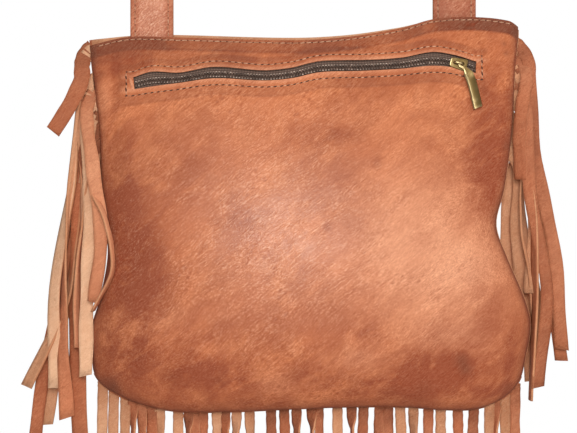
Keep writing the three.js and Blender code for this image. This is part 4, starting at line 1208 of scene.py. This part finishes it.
def sideStrip(bm, sideSign, row, seed, tone):
    root, reach, high, low, end, fall, layer, back, turn, twist, wide = row
    seamX = leftEdge(root) if sideSign < 0 else rightEdge(root)
    knee = min(1.6 * reach + 8, 0.2 * fall)

    def place(out, down, y):
        return Vector((seamX + sideSign * out, y, -bagForm["strapDrop"] - root - down))

    path = pathThrough([
        place(-2, -1.5, 0), place(1.5, 1.5, 0), place(0.85 * reach, 0.45 * knee + 1, layer * 0.05),
        place(reach, knee, layer * 0.5), place(high, 0.37 * fall, layer),
        place(low, 0.68 * fall, (layer + back) / 2), place(end, fall, back)])
    rest = flatTurn(turn)

    def angleAt(s):
        early = mix(rest, turn, ease(s, 0.32, 0.6))
        return sideSign * mix(early, twist, clamp((s - 0.5) / 0.5))

    layStrip(bm, path, angleAt, wide, seed, tone)


def bottomStrip(bm, at, turn, i):
    u = xToAcross(at, 262)
    drop = seamDrop(u)
    fall = fringeForm["bottomLong"] + fringeForm["bottomVary"] * (vary(i, 1) - 0.5)
    sway = fringeForm["sway"] * (vary(i, 2) - 0.5)
    depth = fringeForm["depth"] * (vary(i, 3) - 0.5)
    x = acrossToX(u, drop)
    lift = bagForm["bodyDrop"] - drop

    def place(aside, down, y):
        return Vector((x + aside, y, -bagForm["strapDrop"] - drop - down))

    path = pathThrough([
        place(0, -2.5, 0), place(0, 2.2, 0), place(0.1 * sway, 15 + lift, 0.2 * depth),
        place(0.5 * sway, lift + 0.5 * fall, depth * 0.7), place(sway, lift + fall, depth)])
    rest = flatTurn(turn)
    end = turn + fringeForm["curl"] * (vary(i, 4) - 0.5)

    def angleAt(s):
        return mix(mix(rest, turn, clamp((s - 0.25) / 0.25)), end, clamp((s - 0.5) / 0.5))

    # tones start darker, a painted shade under the bag, and spread at random
    layStrip(bm, path, angleAt, fringeForm["bottomWide"], 60 + i, 0.16 + 0.5 * vary(i, 13))


def finishFringe(name, bm, node):
    piece = finishPiece(name, bm, [stripGrain, stripFlesh, cutEdge])
    thicken(piece, fringeForm["thick"], offset=0.0, inner=1, rim=2)
    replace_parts(piece, node)


def layBand(bm, spots):  # the band that is held in the seam, from places and outward directions
    burnishAndShade = bm.verts.layers.float["burnishAndShade"]

    def place(i, j):
        point, out = spots[j]
        return (point + out * mix(fringeForm["bandIn"], fringeForm["bandOut"], i / 2)) * mm

    for v in gridSheet(bm, 2, len(spots) - 1, place):
        v[burnishAndShade] = fringeForm["bandBurn"]


def buildSideFringe(sideSign, side, edge, firstSeed):
    bm = leatherSheet()[0]
    for k, (row, tone) in enumerate(zip(fringeForm[side], fringeForm[side + "Tones"])):
        sideStrip(bm, sideSign, row, k + firstSeed, tone)
    start = max(topDrop(-1, sideSign), topDrop(1, sideSign)) + 1.5
    out = Vector((sideSign, 0, 0))
    drops = steps(start, fringeForm["bandDrop"], 60)
    layBand(bm, [(Vector((edge(d), 0, -bagForm["strapDrop"] - d)), out) for d in drops])
    finishFringe(side + "Fringe", bm, "fringe_" + side)


def buildBottomFringe():
    bm = leatherSheet()[0]
    for i, (at, turn) in enumerate(fringeForm["bottom"]):
        bottomStrip(bm, at, turn, i)

    def onSeam(u):
        return Vector((acrossToX(u, seamDrop(u)), 0, -bagForm["strapDrop"] - seamDrop(u)))

    spots = []
    for degrees in steps(-83, 83, 100):
        u = math.sin(math.radians(degrees))
        run = (onSeam(u + 0.002) - onSeam(u - 0.002)).normalized()
        spots.append((onSeam(u), Vector((run.z, 0, -run.x))))
    layBand(bm, spots)
    finishFringe("bottomFringe", bm, "fringe_bottom")


buildSideFringe(-1, "left", leftEdge, 1)
buildSideFringe(1, "right", rightEdge, 30)
buildBottomFringe()
print("fringe laid")

# the zip: woven tape behind the window and a closed coil that stands in it
zipForm = {
    "above": 8, "below": 11, "tape": 0.8, "behind": 0.35, "cols": 200, "rows": 12, "lay": (0.26, 0.019),
    "from": -131, "to": 130.5, "low": 1.1, "inEnds": 1.5, "coilWide": 4.8, "pitch": 2.1,
    "turn": (0.78, 0.27, 0.95), "turnAside": 0.24, "turnLift": -0.75, "turnLean": 14,  # one turn of the coil
    "chain": 1.75, "chainLift": 0.05, "knot": (0.75, 0.36, 0.36), "knotVary": 0.14,
}
endFoldForm = {
    "at": -125.6, "wide": 2.6, "bow": -3.0, "lift": 0.2, "around": 12, "along": 16,
    "low": 1.0, "high": 0.6, "rubAndHighlight": 0.8,
}


def windowMiddle(x):
    return (upperLip(x) + lowerLip(x)) / 2


def buildTape():
    form = zipForm
    bm = bmesh.new()
    cols, rows = form["cols"], form["rows"]

    def place(i, j):
        x = mix(form["from"], form["to"], i / cols)
        drop = windowMiddle(x) + mix(form["below"], -form["above"], j / rows)
        return nearAt(x, drop, -(bagForm["wall"] + form["behind"])) * mm

    def lay(i, j):
        return i / cols * form["lay"][0], j / rows * form["lay"][1]

    gridSheet(bm, cols, rows, place, lay)
    tape = finishPiece("zipTape", bm, [tapeCloth])
    thicken(tape, form["tape"])
    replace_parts(tape, "zip_tape")


def zipRunAt(x, reach):  # the zip's direction at a place
    a, b = x - reach, x + reach
    return (nearAt(b, windowMiddle(b)) - nearAt(a, windowMiddle(a))).normalized()


def addBead(bm, shape, *segments):  # a small rounded bead, set by a matrix in millimetres
    bead = bmesh.ops.create_uvsphere(bm, u_segments=segments[0], v_segments=segments[1], radius=1)["verts"]
    bmesh.ops.transform(bm, matrix=Matrix.Scale(mm, 4) @ shape, verts=bead)


def buildCoil(start, end, count):
    form = zipForm
    long, wide, high = form["turn"]
    shape = Matrix.Diagonal((long, form["coilWide"] * wide, high, 1))
    bm, small = bmesh.new(), bmesh.new()
    for k in range(count + 1):
        if k % 30 == 29:  # a few turns at a time, for speed
            joinInto(bm, small)
            small = bmesh.new()
        for row in (-1, 1):
            x = mix(start, end, k / count) + (0.5 * form["pitch"] if row > 0 else 0)
            middle = windowMiddle(x) + form["low"]
            spot = nearAt(x, middle + row * form["coilWide"] * form["turnAside"], form["turnLift"])
            run = zipRunAt(x, 1)
            up = skinOut(-1, xToAcross(x, middle), middle).cross(run).normalized()
            spin = Matrix((run, up, run.cross(up))).transposed().to_4x4()
            lean = Matrix.Rotation(math.radians(form["turnLean"] * row), 4, "Z")
            addBead(small, Matrix.Translation(spot) @ spin @ lean @ shape, 6, 5)
    joinInto(bm, small)
    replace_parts(finishPiece("zipCoil", bm, [coilNylon]), "zip_teeth")


def buildChain(start, end, count):  # the two rows of thread that hold the coil on its tape
    form = zipForm
    long, wide, high = form["knot"]
    bm = bmesh.new()
    for row in (-1, 1):
        small = bmesh.new()
        for k in range(count):
            x = mix(start, end, (k + 0.5) / count)
            spot = nearAt(x, windowMiddle(x) + form["low"] + row * form["chain"], form["chainLift"])
            shape = Matrix.Diagonal((long, wide, high + form["knotVary"] * vary(k, 21), 1))
            addBead(small, Matrix.Translation(spot) @ shape, 6, 4)
        joinInto(bm, small)
    finishPiece("zipChainStitch", bm, [chainThread])


def buildEndFold():  # the turned leather that closes the window's left end
    form = endFoldForm
    bm, pale = leatherSheet()[::2]
    top, bottom = upperLip(form["at"]) - form["high"], lowerLip(form["at"]) + form["low"]

    def place(i, j):
        s = j / form["along"]
        a = 2 * math.pi * i / form["around"]
        thin = form["wide"] / 2 * math.sqrt(max(0.02, 1 - (2 * s - 1) ** 4))
        x = form["at"] + form["bow"] * (s - 0.5) + thin * math.cos(a)
        return nearAt(x, mix(bottom, top, s), form["lift"] + 0.8 * thin * math.sin(a)) * mm

    closeTube(bm, gridSheet(bm, form["around"], form["along"], place), stitchForm["merge"])
    bmesh.ops.recalc_face_normals(bm, faces=bm.faces)
    for v in bm.verts:
        v[pale] = form["rubAndHighlight"]
    finishPiece("windowEndFold", bm, [panelLeather])


coilStart = bagForm["window"][0][0] + zipForm["inEnds"]
coilEnd = bagForm["window"][-1][0] - zipForm["inEnds"]
coilTurns = round((coilEnd - coilStart) / zipForm["pitch"])
buildTape()
buildCoil(coilStart, coilEnd, coilTurns)
buildChain(coilStart, coilEnd, coilTurns)
buildEndFold()
print("zip made")

# slider and pull in aged brass, in the slider's own frame
sliderForm = {
    "at": 113.5, "long": 13, "wide": 9.4, "narrow": 7, "thick": 1.4, "lift": 0.6, "corner": 1.8, "rim": 0.4,
    "left": -3.6, "pivot": 2.4, "rod": 0.8, "rodFlat": (1.15, 0.75), "rise": 2.6,
    "foot": 0.4, "shoulder": 0.9, "arch": 0.25, "around": 14, "along": 40,
}
pullForm = {
    "long": 34, "wide": 6.4, "neck": 3, "thick": 1.3, "eye": 3, "hole": 1.5, "lean": 33,
    "bow": 2.2, "bowPower": 0.55, "twist": 24, "lift": 0.6, "bead": 0.65, "dish": 0.3,
    "around": 36, "rings": 4, "cells": 16, "rows": 40,
}
mergeNear = 0.001  # where a brass sheet's sides meet

sliderDrop = windowMiddle(sliderForm["at"]) + zipForm["low"]
sliderFace = skinOut(-1, xToAcross(sliderForm["at"], sliderDrop), sliderDrop)
sliderUp = sliderFace.cross(zipRunAt(sliderForm["at"], 2)).normalized()
sliderAlong = sliderUp.cross(sliderFace).normalized()
sliderSpot = nearAt(sliderForm["at"], sliderDrop, sliderForm["lift"])
sliderTurn = Matrix((sliderAlong, sliderUp, sliderFace)).transposed().to_4x4()
sliderPlace = Matrix.Scale(mm, 4) @ Matrix.Translation(sliderSpot) @ sliderTurn
pullPivot = Matrix.Translation((sliderForm["pivot"], 0, sliderForm["thick"] + pullForm["lift"]))
pullPlace = sliderPlace @ pullPivot @ Matrix.Rotation(math.radians(pullForm["lean"]), 4, "Z")


def markWornAndHighlight(bm, amount):
    wornAndHighlight = bm.verts.layers.float.get("wornAndHighlight") or bm.verts.layers.float.new("wornAndHighlight")
    for v in bm.verts:
        v[wornAndHighlight] = amount(v.co)


def buildSlider():
    form = sliderForm
    bm = bmesh.new()
    plate = bmesh.ops.create_cube(bm, size=1)["verts"]
    bmesh.ops.scale(bm, verts=plate, vec=(form["long"], form["wide"], form["thick"]))
    bmesh.ops.translate(bm, verts=plate, vec=(0, 0, form["thick"] / 2))
    for v in plate:
        if v.co.x < 0:
            v.co.y *= form["narrow"] / form["wide"]
    upright = [e for e in bm.edges if abs(e.verts[0].co.z - e.verts[1].co.z) > 0.5]
    bmesh.ops.bevel(
        bm, geom=upright, offset=form["corner"], segments=5, profile=0.5, affect="EDGES", material=-1)
    rims = [e for e in bm.edges if e.calc_face_angle(0) > 0.9]
    bmesh.ops.bevel(bm, geom=rims, offset=form["rim"], segments=3, profile=0.5, affect="EDGES", material=-1)
    left, right, foot = form["left"], form["pivot"], form["foot"]
    high, shoulder = form["thick"] + form["rise"], form["shoulder"]
    bend = pathThrough([Vector((x, 0, z)) for x, z in (
        (left, foot), (left, high - shoulder), (left + shoulder, high + form["arch"]),
        (right - shoulder, high + form["arch"]), (right, high - shoulder), (right, foot))])
    around, along = form["around"], form["along"]
    sideways = Vector((0, 1, 0))
    flatWide, flatHigh = form["rodFlat"]

    def place(i, j):
        s = j / along
        tangent = (bend(min(s + 0.01, 1)) - bend(max(s - 0.01, 0))).normalized()
        a = 2 * math.pi * i / around
        rim = sideways * math.cos(a) * flatWide + sideways.cross(tangent) * math.sin(a) * flatHigh
        return bend(s) + rim * form["rod"]

    closeTube(bm, gridSheet(bm, around, along, place), mergeNear)
    bmesh.ops.recalc_face_normals(bm, faces=bm.faces)
    markWornAndHighlight(bm, lambda co: 0.8 * ease(co.z, 2.5, 4.2) + 0.7 * ease(-co.x / form["long"] * 2, 0.82, 0.95))
    bmesh.ops.transform(bm, matrix=sliderPlace, verts=bm.verts)
    piece = finishPiece("zipSlider", bm, [agedBrass])
    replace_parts(piece, "zip_slider")


def pullBow(down):  # the blade's sideways bow at a share of its length
    return pullForm["bow"] * math.sin(math.pi * down ** pullForm["bowPower"])


def buildPull():
    form = pullForm
    bm = bmesh.new()
    around, rings, cells, rows = (form[kind] for kind in ("around", "rings", "cells", "rows"))

    def ring(i, j):
        a = 2 * math.pi * i / around
        r = mix(form["hole"], form["eye"], j / rings)
        return Vector((r * math.cos(a), r * math.sin(a), form["thick"] / 2))

    eye = list(gridSheet(bm, around, rings, ring))
    bmesh.ops.remove_doubles(bm, verts=eye, dist=mergeNear)

    def blade(i, j):
        s = 1 - j / rows
        down = mix(form["eye"] - 0.2, form["long"], s)
        wide = mix(form["neck"], form["wide"], ease(down, 3.4, 8.5))
        turn = math.radians(form["twist"]) * ease(down, 5, 14)
        a = mix(-wide / 2, wide / 2, i / cells)
        dish = -form["dish"] * (1 - (2 * i / cells - 1) ** 2) * ease(down, 8, 14)
        dish += form["bead"] * hump(a, -wide / 2 + 0.8, 0.65) * ease(down, 4, 9)
        x = pullBow(s) + a * math.cos(turn) - dish * math.sin(turn)
        return Vector((x, -down, form["thick"] / 2 + a * math.sin(turn) + dish * math.cos(turn)))

    def wearAndHighlight(co):  # bright along the beaded edge, partly as a painted highlight there, and at the tip
        aside = co.x - pullBow(clamp(-co.y / form["long"]))
        return 0.8 * (1 - ease(aside, -2.2, -1.2)) + 0.4 * ease(-co.y, 31.5, 34)

    gridSheet(bm, cells, rows, blade)
    bmesh.ops.recalc_face_normals(bm, faces=bm.faces)
    for f in bm.faces:
        if f.normal.z < 0:
            f.normal_flip()
    markWornAndHighlight(bm, wearAndHighlight)
    bmesh.ops.transform(bm, matrix=pullPlace, verts=bm.verts)
    piece = finishPiece("zipPull", bm, [agedBrass], body="pull")
    thicken(piece, form["thick"], offset=0.0)
    roundEdges(piece, 0.3, 3, 50)
    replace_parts(piece, "zip_pull")


buildSlider()
buildPull()
print("slider and pull made")
